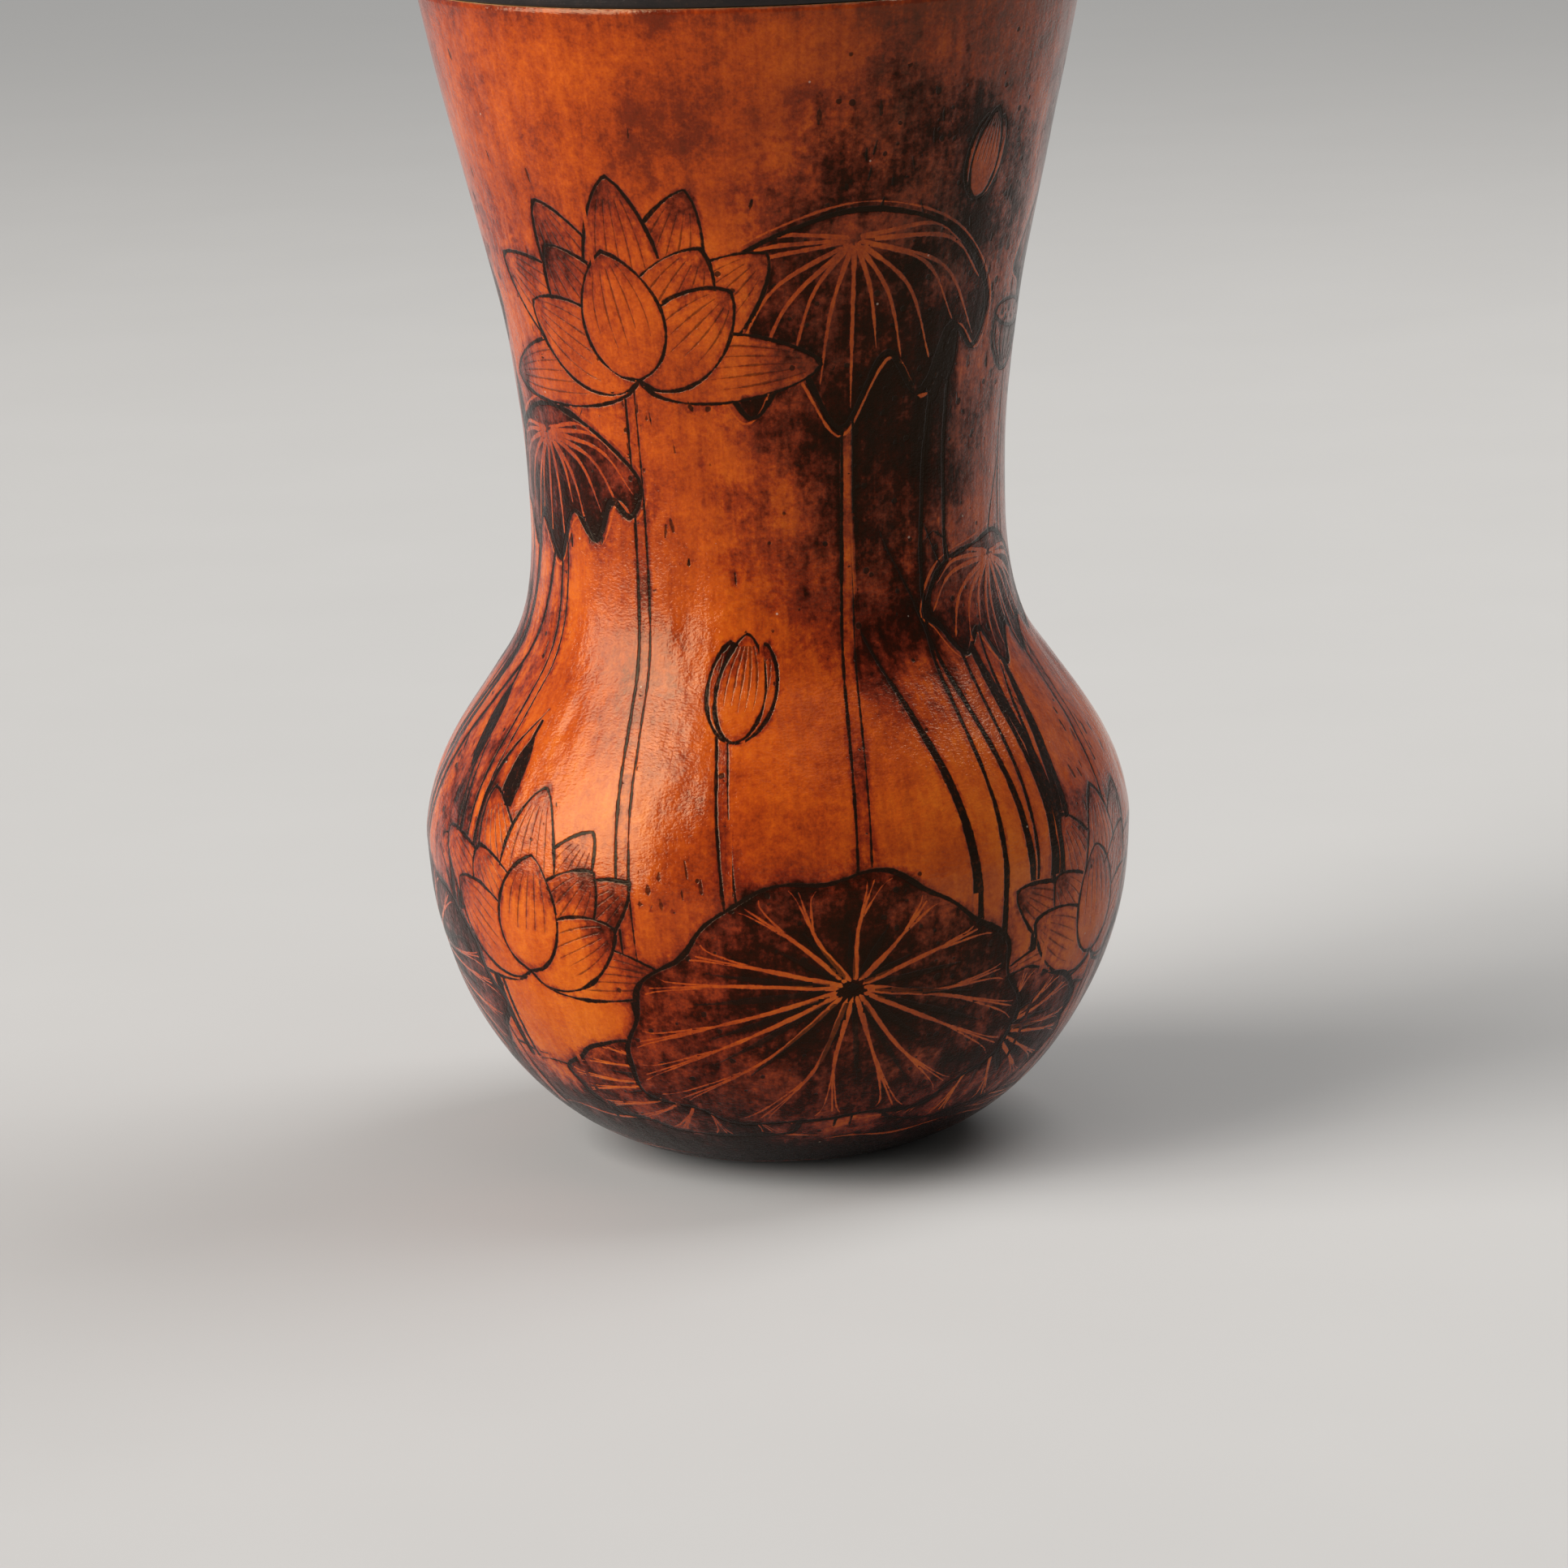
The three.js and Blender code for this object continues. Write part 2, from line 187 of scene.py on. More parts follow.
class Wire:
    """An output socket. Arithmetic on it adds Math nodes to its tree."""

    def __init__(self, nodes, socket):
        self.nodes = nodes
        self.socket = socket

    def out(self, name):
        return Wire(self.nodes, self.socket.node.outputs[name])

    def math(self, operation, *values):
        return self.nodes.node("ShaderNodeMath", {"operation": operation}, values)

    __add__ = arithmetic("ADD")
    __radd__ = arithmetic("ADD", swapped=True)
    __sub__ = arithmetic("SUBTRACT")
    __rsub__ = arithmetic("SUBTRACT", swapped=True)
    __mul__ = arithmetic("MULTIPLY")
    __rmul__ = arithmetic("MULTIPLY", swapped=True)
    __truediv__ = arithmetic("DIVIDE")
    __lt__ = arithmetic("LESS_THAN")
    least = arithmetic("MINIMUM")
    most = arithmetic("MAXIMUM")

    def __abs__(self):
        return self.math("ABSOLUTE", self)

    def swing(self, weight):
        """The ups and downs of a pattern round 0.5, weighted."""
        return weight * (self - 0.5)

    def between(self, low, high):
        """0 below low, 1 above high, and a smooth step between them."""
        limits = {"From Min": low, "From Max": high}
        return self.nodes.node(
            "ShaderNodeMapRange", {"interpolation_type": "SMOOTHSTEP"}, {"Value": self, **limits})


class Nodes:
    """A node tree that is being built."""

    def __init__(self, tree):
        self.tree = tree

    def node(self, kind, settings=None, inputs=(), output=0):
        made = self.tree.nodes.new(kind)
        for name, value in (settings or {}).items():
            if name == "stops":
                set_stops(made.color_ramp, value)
            else:
                setattr(made, name, value)
        pairs = inputs.items() if isinstance(inputs, dict) else enumerate(inputs)
        for name, value in pairs:
            if isinstance(value, Wire):
                self.tree.links.new(value.socket, made.inputs[name])
            else:
                made.inputs[name].default_value = value
        return Wire(self, made.outputs[output])

    def length(self, vector):
        return self.node("ShaderNodeVectorMath", {"operation": "LENGTH"}, (vector,), "Value")


def set_stops(ramp, stops):
    while len(ramp.elements) < len(stops):
        ramp.elements.new(1.0)
    for element, (position, colour) in zip(ramp.elements, stops):
        element.position = position
        element.color = (*colour, 1)


class Finish(Nodes):
    """A material with one Principled shader. Its patterns are measured in millimetres."""

    def __init__(self, name, constants):
        self.material = bpy.data.materials.new(name)
        self.material.use_nodes = True
        super().__init__(self.material.node_tree)
        self.shader = self.tree.nodes["Principled BSDF"]
        for socket, value in constants.items():
            self.shader.inputs[socket].default_value = value
        place = self.node("ShaderNodeTexCoord", output="Object")
        self.place = self.node("ShaderNodeVectorMath", {"operation": "SCALE"}, {0: place, "Scale": 1 / MM})

    def feed(self, wires):
        for socket, wire in wires.items():
            self.tree.links.new(wire.socket, self.shader.inputs[socket])

    def fed(self, colour, roughness, normal, **others):
        """The material, once its shader has what changes over the surface."""
        self.feed({"Base Color": colour, "Roughness": roughness, "Normal": normal, **others})
        return self.material

    def overlay(self, share, values):
        """A second Principled shader, which takes over where share is 1."""
        first = Wire(self, self.shader.outputs["BSDF"])
        second = self.node("ShaderNodeBsdfPrincipled", inputs=values)
        both = self.node("ShaderNodeMixShader", inputs=(share, first, second))
        self.tree.links.new(both.socket, self.tree.nodes["Material Output"].inputs["Surface"])

    def attribute(self, name, output):
        return self.node("ShaderNodeAttribute", {"attribute_name": name}, output=output)

    def parts(self, vector):
        split = self.node("ShaderNodeSeparateXYZ", inputs=(vector,))
        return split, split.out("Y"), split.out("Z")

    def noise(self, size, detail=2.0, roughness=0.5, place=None, stretch=None):
        """Noise over the object's own place or another one, which may be multiplied by three factors."""
        place = place or self.place
        if stretch:
            place = self.node("ShaderNodeVectorMath", {"operation": "MULTIPLY"}, (place, stretch))
        values = {"Vector": place, "Scale": 1 / size, "Detail": detail, "Roughness": roughness}
        return self.node("ShaderNodeTexNoise", inputs=values)

    def cells(self, size):
        """How far it is to the nearest of many scattered spots."""
        return self.node("ShaderNodeTexVoronoi", inputs={"Vector": self.place, "Scale": 1 / size})

    def chance(self, cells):
        """Random values, one set for each spot."""
        return self.node("ShaderNodeSeparateColor", inputs=(cells.out("Color"),))

    def ramp(self, value, stops):
        return self.node("ShaderNodeValToRGB", {"stops": stops}, (value,))

    def mix(self, share, first, second, blend="MIX"):
        settings = {"data_type": "RGBA", "blend_type": blend}
        return self.node("ShaderNodeMix", settings, {0: share, 6: first, 7: second}, 2)

    def bump(self, height, strength=1.0):
        """A normal from a height in millimetres."""
        values = {"Height": height, "Distance": MM, "Strength": strength}
        return self.node("ShaderNodeBump", inputs=values)


# Outlines, as rows of (radius, height)


def turned_outline(node, facing):
    """The faces of a turned CAD node that look outwards (1) or inwards (-1), from the bottom up."""
    level_face = 0.03
    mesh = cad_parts[node].data
    places = set()
    for face in mesh.polygons:
        away = Vector((face.center.x, face.center.y, 0)).normalized()
        if face.normal.dot(away) * facing > level_face:
            for index in face.vertices:
                place = mesh.vertices[index].co
                places.add((round(math.hypot(place.x, place.y) / MM, 2), round(place.z / MM, 2)))
    return np.array(sorted(places, key=lambda place: place[1]))


def flowing(points, rows):
    """A smooth curve through the points, as evenly spaced rows."""
    points = np.asarray(points)
    first = 2 * points[0] - points[1]
    last = 2 * points[-1] - points[-2]
    padded = np.vstack([first, points, last])
    share = np.linspace(0, 1, CURVE_STEPS, endpoint=False)[:, None]
    runs = []
    for before, start, end, after in zip(padded, padded[1:], padded[2:], padded[3:]):
        runs.append(0.5 * (
            2 * start + (end - before) * share
            + (2 * before - 5 * start + 4 * end - after) * share ** 2
            + (3 * start - before - 3 * end + after) * share ** 3))
    return spaced(np.vstack([*runs, points[-1:]]), rows)


def spaced(curve, rows):
    run = run_along(curve)
    wanted = np.linspace(0, run[-1], rows)
    return np.column_stack([np.interp(wanted, run, curve[:, axis]) for axis in range(curve.shape[1])])


def run_along(curve):
    steps = np.linalg.norm(np.diff(curve, axis=0), axis=1)
    return np.concatenate([[0], np.cumsum(steps)])


# Meshes


def object_of(name, mesh):
    piece = bpy.data.objects.new(name, mesh)
    bpy.context.scene.collection.objects.link(piece)
    return piece


def mesh_of(name, points, faces):
    mesh = bpy.data.meshes.new(name)
    mesh.from_pydata((np.asarray(points) * MM).tolist(), [], faces)
    mesh.shade_smooth()
    mesh.update()
    return mesh


def round_rows(outline, columns):
    """Points of each row turned round the axis, starting at the back."""
    azimuth = np.linspace(-math.pi, math.pi, columns, endpoint=False)
    radius = outline[:, :1]
    height = np.repeat(outline[:, 1:], columns, axis=1)
    return np.stack([radius * np.sin(azimuth), -radius * np.cos(azimuth), height], axis=2)


def band_faces(rows, columns):
    """Quads between neighbouring rows of points that go round the axis."""
    row = np.arange(rows - 1)[:, None] * columns
    column = np.arange(columns)[None, :]
    following = (column + 1) % columns
    quads = np.stack([row + column, row + following, row + columns + following, row + columns + column], 2)
    return quads.reshape(-1, 4)


# Burnt drawing on the gourd


def nearest_on(path, places):
    """Signed distance from each place to a path, the share of the path before it, and any overshoot."""
    start = path[:-1]
    step = np.diff(path, axis=0)
    square = (step ** 2).sum(1)
    offset = places[:, None, :] - start
    raw = (offset * step).sum(2) / square
    share = np.clip(raw, 0, 1)
    gap = offset - share[..., None] * step
    distance = np.hypot(gap[..., 0], gap[..., 1])
    best = distance.argmin(1)
    each = np.arange(len(places))
    length = np.sqrt(square)
    side = np.sign(step[best, 0] * offset[each, best, 1] - step[best, 1] * offset[each, best, 0])
    run = np.concatenate([[0], np.cumsum(length)])
    along = (run[best] + share[each, best] * length[best]) / run[-1]
    past_start = (best == 0) * np.clip(-raw[each, best], 0, None)
    past_end = (best == len(step) - 1) * np.clip(raw[each, best] - 1, 0, None)
    overshoot = (past_start + past_end) * length[best]
    return side * distance[each, best], along, overshoot


def inside(outline, places):
    """Which places lie inside a closed outline."""
    start = outline
    end = np.roll(outline, -1, axis=0)
    x = places[:, :1]
    y = places[:, 1:]
    crosses = (start[:, 1] > y) != (end[:, 1] > y)
    rise = np.where(end[:, 1] == start[:, 1], 1e-9, end[:, 1] - start[:, 1])
    meets = start[:, 0] + (y - start[:, 1]) * (end[:, 0] - start[:, 0]) / rise
    return (crosses & (x < meets)).sum(1) % 2 == 1


def closed(outline):
    return np.vstack([outline, outline[:1]])


def turned_back(turn):
    """An angle brought between minus and plus half a turn."""
    return (turn + math.pi) % math.tau - math.pi


class BurntDrawing:
    """Strokes for each corner of the skin's outside, and scorching for each of its points."""

    def __init__(self, azimuth, along, radius, faces):
        self.azimuth = azimuth
        self.along = along
        self.radius = radius
        self.faces = faces
        self.strokes = np.tile(NO_STROKE, (2, len(faces), 4, 1))
        self.depth = np.full((2, len(faces)), FAR)
        self.scorch = np.zeros(len(azimuth))

    def at(self, azimuth_degrees, along):
        return DrawingPlane(self, math.radians(azimuth_degrees), along)


class DrawingPlane:
    """Part of the skin laid flat round one place: x to the right and y upwards along the skin."""

    def __init__(self, drawing, azimuth, along):
        self.drawing = drawing
        turn = turned_back(drawing.azimuth - azimuth)
        self.places = np.column_stack([turn * drawing.radius, drawing.along - along])
        self.corners = self.places[drawing.faces]
        self.middles = self.corners.mean(1)

    def near(self, places, outline, reach):
        low = outline.min(0) - reach
        high = outline.max(0) + reach
        return np.flatnonzero(((places > low) & (places < high)).all(1))

    def stroke(self, path, width, ink=CHARRED):
        """A stroke along a path. Its width is one number, or several spread along it."""
        path = np.asarray(path, float)
        widths = np.atleast_1d(np.asarray(width, float))
        stops = np.linspace(0, 1, len(widths))
        found = self.near(self.middles, path, widths.max() + STROKE_REACH)
        if not len(found):
            return
        distance, along, over = nearest_on(path, self.middles[found])
        depth = np.abs(distance) + over - np.interp(along, stops, widths) / 2
        close = depth < STROKE_REACH
        found = found[close]
        depth = depth[close]
        distance, along, over = nearest_on(path, self.corners[found].reshape(-1, 2))
        half = np.interp(along, stops, widths) / 2 - 2 * over
        values = np.column_stack([distance, half, np.full(len(half), ink)]).reshape(-1, 4, 3)
        drawing = self.drawing
        nearer = depth < drawing.depth[0, found]
        first = found[nearer]
        drawing.strokes[1, first] = drawing.strokes[0, first]
        drawing.depth[1, first] = drawing.depth[0, first]
        drawing.strokes[0, first] = values[nearer]
        drawing.depth[0, first] = depth[nearer]
        second = found[~nearer]
        better = depth[~nearer] < drawing.depth[1, second]
        drawing.strokes[1, second[better]] = values[~nearer][better]
        drawing.depth[1, second[better]] = depth[~nearer][better]

    def patch(self, outline, darkness, halo=0.0, halo_width=3.0):
        """Fresh scorching inside an outline. Darkness is a number, or a function of the places."""
        self.clear(outline)
        found = self.near(self.places, outline, 3 * halo_width if halo else PATCH_EDGE)
        places = self.places[found]
        distance = np.abs(nearest_on(closed(outline), places)[0])
        depth = np.where(inside(outline, places), distance, -distance)
        dark = darkness(places) if callable(darkness) else darkness
        scorch = dark * np.clip(depth / PATCH_EDGE + 0.5, 0, 1)
        if halo:
            scorch = np.maximum(scorch, halo * np.exp(np.minimum(depth, 0) / halo_width))
        self.drawing.scorch[found] = np.maximum(self.drawing.scorch[found], scorch)

    def clear(self, outline):
        """Wipes what was drawn inside an outline, for what lies in front of it."""
        drawing = self.drawing
        found = self.near(self.middles, outline, 0)
        hidden = found[inside(outline, self.middles[found])]
        drawing.strokes[:, hidden] = NO_STROKE
        drawing.depth[:, hidden] = FAR
        found = self.near(self.places, outline, 0)
        drawing.scorch[found[inside(outline, self.places[found])]] = 0


# Burnt motifs: a lotus pond that goes all the way round


def rotated(points, degrees):
    turn = math.radians(degrees)
    across = np.array([math.cos(turn), math.sin(turn)])
    up = np.array([-math.sin(turn), math.cos(turn)])
    points = np.asarray(points, float)
    return points[..., :1] * across + points[..., 1:] * up


def stalk(plane, rise, lean, seed):
    """A pale stalk with two burnt sides and a few pricks, in front of what is behind it."""
    path = flowing([(0, 0), (0.3 * lean, 0.35 * rise), (0.9 * lean, 0.7 * rise), (lean, rise)], 40)
    widths = np.array((1.2, 1, 0.8)) * STALK_WIDTH
    half = np.interp(np.linspace(0, 1, len(path)), np.linspace(0, 1, len(widths)), widths)[:, None] / 2
    step = np.gradient(path, axis=0)
    step /= np.linalg.norm(step, axis=1, keepdims=True)
    side = np.column_stack([-step[:, 1], step[:, 0]]) * half
    outline = np.vstack([path + side, (path - side)[::-1]])
    plane.patch(outline, 0.22)
    plane.stroke(path + side, 0.34)
    plane.stroke(path - side, 0.24)
    draw = np.random.default_rng(seed)
    for place in path[3:-3:4]:
        start = place + draw.uniform(-0.4, 0.4, 2) * STALK_WIDTH
        plane.stroke([start, start + (0.05, 0.3)], 0.3)


def leaf_rim(draw, width, height):
    turn = np.linspace(0, math.tau, RIM_POINTS, endpoint=False)
    wave = np.ones(RIM_POINTS)
    for lobes, size in LEAF_WAVES:
        wave += size * np.sin(lobes * turn + draw.uniform(0, math.tau))
    return np.column_stack([width / 2 * np.cos(turn), height / 2 * np.sin(turn)]) * wave[:, None]


def veins(plane, draw, heart, rim):
    """Pale forked veins from the heart of a leaf to its rim, with burnt hatching between them."""
    size = len(rim)

    def towards(index, share):
        return heart + share * (rim[index % size] - heart)

    for vein in range(LEAF_VEINS):
        index = int((vein + draw.uniform(0.3, 0.7)) * size / LEAF_VEINS)
        tip = towards(index, 0.95)
        reach = tip - heart
        bend = draw.uniform(-0.08, 0.08) * np.array([-reach[1], reach[0]])
        path = flowing([heart + 0.07 * reach, heart + 0.55 * reach + bend, tip], 18)
        plane.stroke(path, (0.62, 0.42, 0.16), RESERVED)
        for side in (-1, 1):
            fork_tip = towards(index + side * size // (4 * LEAF_VEINS), 0.96)
            fork = flowing([path[10], 0.5 * (path[14] + fork_tip), fork_tip], 8)
            plane.stroke(fork, (0.34, 0.12), RESERVED)
        between = towards(index + size // (2 * LEAF_VEINS), draw.uniform(0.5, 0.8))
        start = heart + 0.16 * (between - heart)
        plane.stroke([start, between], (0.5, 0.7, 0.08), HATCHING)
    plane.stroke([heart - (0.3, 0), heart + (0.3, 0)], 1.1)


def open_leaf(plane, width, height, tilt, seed):
    """A leaf seen from above."""
    draw = np.random.default_rng(seed)
    rim = rotated(leaf_rim(draw, width, height), tilt)
    heart = rotated((0.06 * width, 0.12 * height), tilt)

    def darkness(places):
        out = np.linalg.norm((places - heart) / (width, height), axis=1)
        middle = 0.3 * np.exp(-(out / 0.2) ** 2)
        return LEAF_DARKNESS + middle + 0.22 * (places[:, 0] - heart[0]) / width

    plane.patch(rim, darkness, halo=0.34, halo_width=2.2)
    veins(plane, draw, heart, rim)
    plane.stroke(closed(rim), draw.uniform(0.3, 0.75, 30))


SIDE_LEAF = np.array([
    (-0.50, -0.04), (-0.36, 0.24), (-0.13, 0.40), (0.10, 0.42), (0.33, 0.27), (0.50, -0.02), (0.43, -0.24),
    (0.34, -0.12), (0.22, -0.36), (0.11, -0.16), (-0.04, -0.44), (-0.16, -0.17), (-0.29, -0.34),
    (-0.40, -0.13)])


def side_leaf(plane, width, height, tilt, seed):
    """A leaf seen from the side, hanging from the top of its stalk."""
    draw = np.random.default_rng(seed)
    lobes = SIDE_LEAF * (width, height) * draw.uniform(0.94, 1.06, SIDE_LEAF.shape)
    looped = np.vstack([lobes[-1:], lobes, lobes[:2]])
    rim = rotated(flowing(looped, 150)[8:-9], tilt)
    heart = rotated((0.02 * width, 0.31 * height), tilt)

    def darkness(places):
        across = 0.12 * (places[:, 0] - heart[0]) / width
        return SIDE_DARKNESS + across - 0.35 * (places[:, 1] - heart[1]) / height

    plane.patch(rim, darkness, halo=0.4, halo_width=2.5)
    size = len(rim)
    for vein in range(SIDE_VEINS):
        index = int((vein + draw.uniform(0.3, 0.7)) * size / SIDE_VEINS) % size
        tip = heart + 0.94 * (rim[index] - heart)
        reach = tip - heart
        if reach[1] > -0.12 * height and abs(reach[0]) < 0.3 * width:
            continue
        belly = heart + 0.5 * reach + np.array([0.18 * reach[0], 0.12 * abs(reach[0])])
        plane.stroke(flowing([heart + 0.05 * reach, belly, tip], 16), (0.55, 0.42, 0.15), RESERVED)
    outward = rim - rim.mean(0)
    margin = rim + 0.75 * outward / np.linalg.norm(outward, axis=1, keepdims=True)
    plane.stroke(closed(margin), draw.uniform(0.1, 0.42, 24), RESERVED)
    plane.stroke(closed(rim), draw.uniform(0.35, 0.8, 30))


def petal(plane, angle, length, width, curl, draw, shade=0.42):
    """One pointed petal. Angle is in degrees from upright, and curl bends the tip sideways."""
    share = np.linspace(0, 1, 20)
    half = width / 2 * share ** 0.6 * (1 - share) ** 0.75 / 0.387
    spine = np.column_stack([curl * length * share ** 2, length * share])
    across = np.column_stack([half, 0 * half])
    outline = rotated(np.vstack([spine - across, (spine + across)[-2:0:-1]]), -angle)

    def darkness(places):
        run = np.clip(np.linalg.norm(places, axis=1) / length, 0, 1)
        return 0.06 + shade * np.clip((run - 0.55) / 0.45, 0, 1) ** 1.5 + 0.3 * np.clip(0.3 - run, 0, 1)

    plane.patch(outline, darkness)
    for offset in (-0.62, -0.3, 0, 0.3, 0.62):
        begin = int(draw.integers(5, 9))
        path = rotated(spine + offset * across, -angle)
        plane.stroke(path[begin:18], (0.06, 0.2, 0.12), BROWNED)
    plane.stroke(closed(outline), draw.uniform(0.24, 0.5, 16))


# Petals of an open blossom from back to front: angle, length, width, curl
BLOSSOM = (
    (-20, 0.98, 0.40, -0.05), (20, 0.98, 0.40, 0.05), (1, 1.04, 0.42, 0.0), (-47, 0.98, 0.40, -0.10),
    (46, 0.96, 0.40, 0.10), (-78, 0.92, 0.34, -0.16), (78, 0.90, 0.34, 0.16), (-31, 0.78, 0.42, -0.04),
    (30, 0.78, 0.42, 0.05), (-62, 0.72, 0.38, 0.05), (60, 0.70, 0.38, -0.05), (-2, 0.66, 0.44, 0.02))


def blossom(plane, size, tilt, seed):
    draw = np.random.default_rng(seed)
    for angle, length, width, curl in BLOSSOM:
        turn = angle + tilt + draw.uniform(-4, 4)
        reach = size * length * draw.uniform(0.95, 1.05)
        petal(plane, turn, reach, size * width, curl, draw)


def bud(plane, size, tilt, seed):
    draw = np.random.default_rng(seed)
    for angle, length, width in ((-9, 0.92, 0.44), (10, 0.94, 0.44), (0, 1, 0.42)):
        petal(plane, angle + tilt, size * length, size * width, 0, draw, 0.7)


POD_CUP = np.array([(-0.5, 0.62), (-0.42, 0.28), (-0.14, 0.03), (0.14, 0.03), (0.42, 0.28), (0.5, 0.62)])
POD_SEEDS = np.array([
    (-0.3, 0.61), (-0.1, 0.66), (0.12, 0.67), (0.32, 0.62), (0.02, 0.57), (-0.18, 0.56), (0.22, 0.56)])


def seed_pod(plane, size, tilt):
    turn = np.linspace(0, math.tau, 40, endpoint=False)
    top = np.column_stack([0.5 * size * np.cos(turn), 0.15 * size * np.sin(turn) + 0.62 * size])
    cup = rotated(flowing(size * POD_CUP, 36), tilt)
    top = rotated(top, tilt)
    for outline, dark in ((np.vstack([cup, top[20::-1]]), 0.5), (top, 0.25)):
        plane.patch(outline, dark, halo=0.2)
    for rib in np.linspace(-0.35, 0.35, 6):
        path = rotated(size * np.array([(1.2 * rib, 0.5), (rib, 0.28), (0.35 * rib, 0.06)]), tilt)
        plane.stroke(flowing(path, 10), (0.2, 0.35, 0.1))
    for place in rotated(size * POD_SEEDS, tilt):
        plane.stroke([place - (0.2, 0), place + (0.2, 0)], 0.7)
    plane.stroke(cup, 0.5)
    plane.stroke(closed(top), 0.4)


def reeds(plane, count, spread, rise, seed):
    """A clump of blades, some bent over, with two cattails."""
    draw = np.random.default_rng(seed)
    for blade in range(count):
        foot = draw.uniform(-spread, spread)
        tall = rise * draw.uniform(0.5, 1)
        lean = 0.5 * foot + draw.uniform(-0.2, 0.2) * tall
        droop = draw.choice((0, 0, 0.2)) * tall
        path = flowing([
            (foot, 0), (foot + 0.2 * lean, 0.4 * tall), (foot + 0.6 * lean, 0.8 * tall),
            (foot + 1.3 * lean, tall - droop)], 24)
        plane.stroke(path, np.array((0.9, 1.3, 0.9, 0.08)) * draw.uniform(0.6, 1.1))
    for cattail in range(2):
        foot = draw.uniform(-spread, spread)
        tip = np.array((foot + draw.uniform(-3, 3), rise * draw.uniform(0.85, 1.05)))
        path = flowing([(foot, 0), (foot + 0.3 * (tip[0] - foot), 0.5 * tip[1]), tip], 24)
        plane.stroke(path, 0.45)
        plane.stroke([tip - (0.1, 11), tip - (0, 2)], (0.5, 2, 2.4, 2.3, 1.9, 0.5))


def ripples(drawing):
    """Burnt water round the foot, with pale ripple lines in it."""
    draw = np.random.default_rng(WATER_SEED)
    wave = sum(height * np.sin(waves * drawing.azimuth + phase) for height, waves, phase in WATER_WAVES)
    dark = np.clip(1.8 - (drawing.along + wave) / 15, 0, 1)
    drawing.scorch = np.maximum(drawing.scorch, dark)
    for line in range(WATER_LINES):
        low = draw.uniform(4, 31)
        plane = drawing.at(draw.uniform(-180, 180), low)
        length = draw.uniform(6, 20)
        across = np.linspace(-length / 2, length / 2, 20)
        up = 0.35 * np.sin(across * draw.uniform(0.5, 0.9) + draw.uniform(0, 6))
        up = up + 0.02 * across * draw.uniform(-1, 1)
        widths = np.array((0.06, 0.5, 0.06)) * draw.uniform(0.6, 1.2)
        plane.stroke(np.column_stack([across, up]), widths, RESERVED if low < WATER_EDGE else CHARRED)


def dabs(plane, width, height, count, seed):
    """Short upright dabs of the burning point, scattered over a patch."""
    draw = np.random.default_rng(seed)
    for place in draw.normal(0, 0.5, (count, 2)) * (width, height):
        length = draw.uniform(0.4, 2)
        lean = draw.uniform(-0.4, 0.4)
        widths = draw.uniform(0.2, 0.6) * np.array((0.4, 1, 0.8, 0.3))
        plane.stroke([place, place + (lean, length)], widths, draw.uniform(0.6, 1))


def cloud(plane, width, height, dark):
    """A soft scorched cloud. High on the right of the neck, clouds also serve as painted shade."""
    away = (plane.places / (width, height)) ** 2
    plane.drawing.scorch = np.maximum(plane.drawing.scorch, dark * np.exp(-away.sum(1)))


# Places of the motifs: degrees round from the front, then millimetres along the skin from its foot.
# After those come the sizes and tilt that each motif takes, and the seed of what is random in it.
# The cloud at 50 degrees, 111 up, is burnt drawing made darker as painted shade. The last one, high on the
# right of the neck, is painted shade on the side away from the softbox.
SCORCH_AND_SHADE_CLOUDS = (
    (30, 94, 14, 26, 1.0), (17, 110, 10, 12, 0.62), (30, 72, 9, 11, 0.7), (50, 111, 11, 12, 0.75),
    (-46, 96, 9, 14, 0.3), (-66, 106, 9, 12, 0.25), (-14, 118, 9, 6, 0.16), (-68, 66, 7, 9, 0.45),
    (104, 96, 13, 24, 0.95), (84, 116, 9, 8, 0.6), (150, 84, 12, 18, 0.7), (-120, 94, 15, 26, 1.0),
    (-166, 104, 11, 14, 0.7), (-92, 68, 9, 10, 0.6), (66, 44, 10, 8, 0.4), (-64, 48, 11, 9, 0.55),
    (178, 52, 11, 9, 0.6), (118, 50, 11, 10, 0.55), (-122, 50, 11, 9, 0.5), (-8, 44, 8, 5, 0.22),
    (38, 119, 16, 9, 0.66))
DABS = (
    (-40, 92, 13, 20, 60, 11), (22, 110, 12, 10, 36, 12), (56, 96, 9, 18, 40, 13),
    (-66, 52, 10, 10, 40, 14), (62, 50, 10, 10, 36, 15), (150, 90, 14, 20, 50, 16),
    (-164, 100, 12, 16, 44, 17), (-84, 110, 12, 10, 36, 18), (176, 54, 12, 10, 36, 19),
    (-12, 44, 9, 3, 14, 20))
REEDS = (
    (44, 22, 9, 6, 80, 21), (-96, 22, 12, 7, 78, 22), (126, 22, 13, 8, 84, 23), (-158, 22, 11, 7, 74, 24),
    (-58, 24, 7, 5, 42, 25))
STALKS = (
    (12, 16, 86, 3, 100), (-24, 16, 80, -3, 848), (66, 16, 76, 3, 478), (-62, 16, 68, 2, 582),
    (100, 16, 90, 2, 716), (150, 16, 82, -3, 66), (-110, 16, 88, -2, 246), (-148, 16, 76, 3, 980),
    (-4, 16, 44, -3, 988), (174, 16, 51, 2, 234))
SIDE_LEAVES = (
    (19, 100, 33, 25, 4, 31), (104, 102, 33, 25, -5, 32), (-113, 101, 34, 25, 3, 33),
    (-60, 83, 23, 17, 8, 34), (62, 70, 20, 15, -6, 35), (-160, 74, 20, 15, 5, 36))
SEED_PODS = ((70, 92, 9, -8), (-144, 90, 9, 6))
BUDS = ((-8, 59, 11, 6, 51), (178, 66, 10, 8, 52), (47, 110, 9, 12, 53))
BLOSSOMS = (
    (-28, 94, 20, -6, 61), (145, 96, 20, 6, 62), (-46, 35, 18, 4, 63), (64, 33, 17, -5, 64),
    (172, 34, 18, 0, 65))
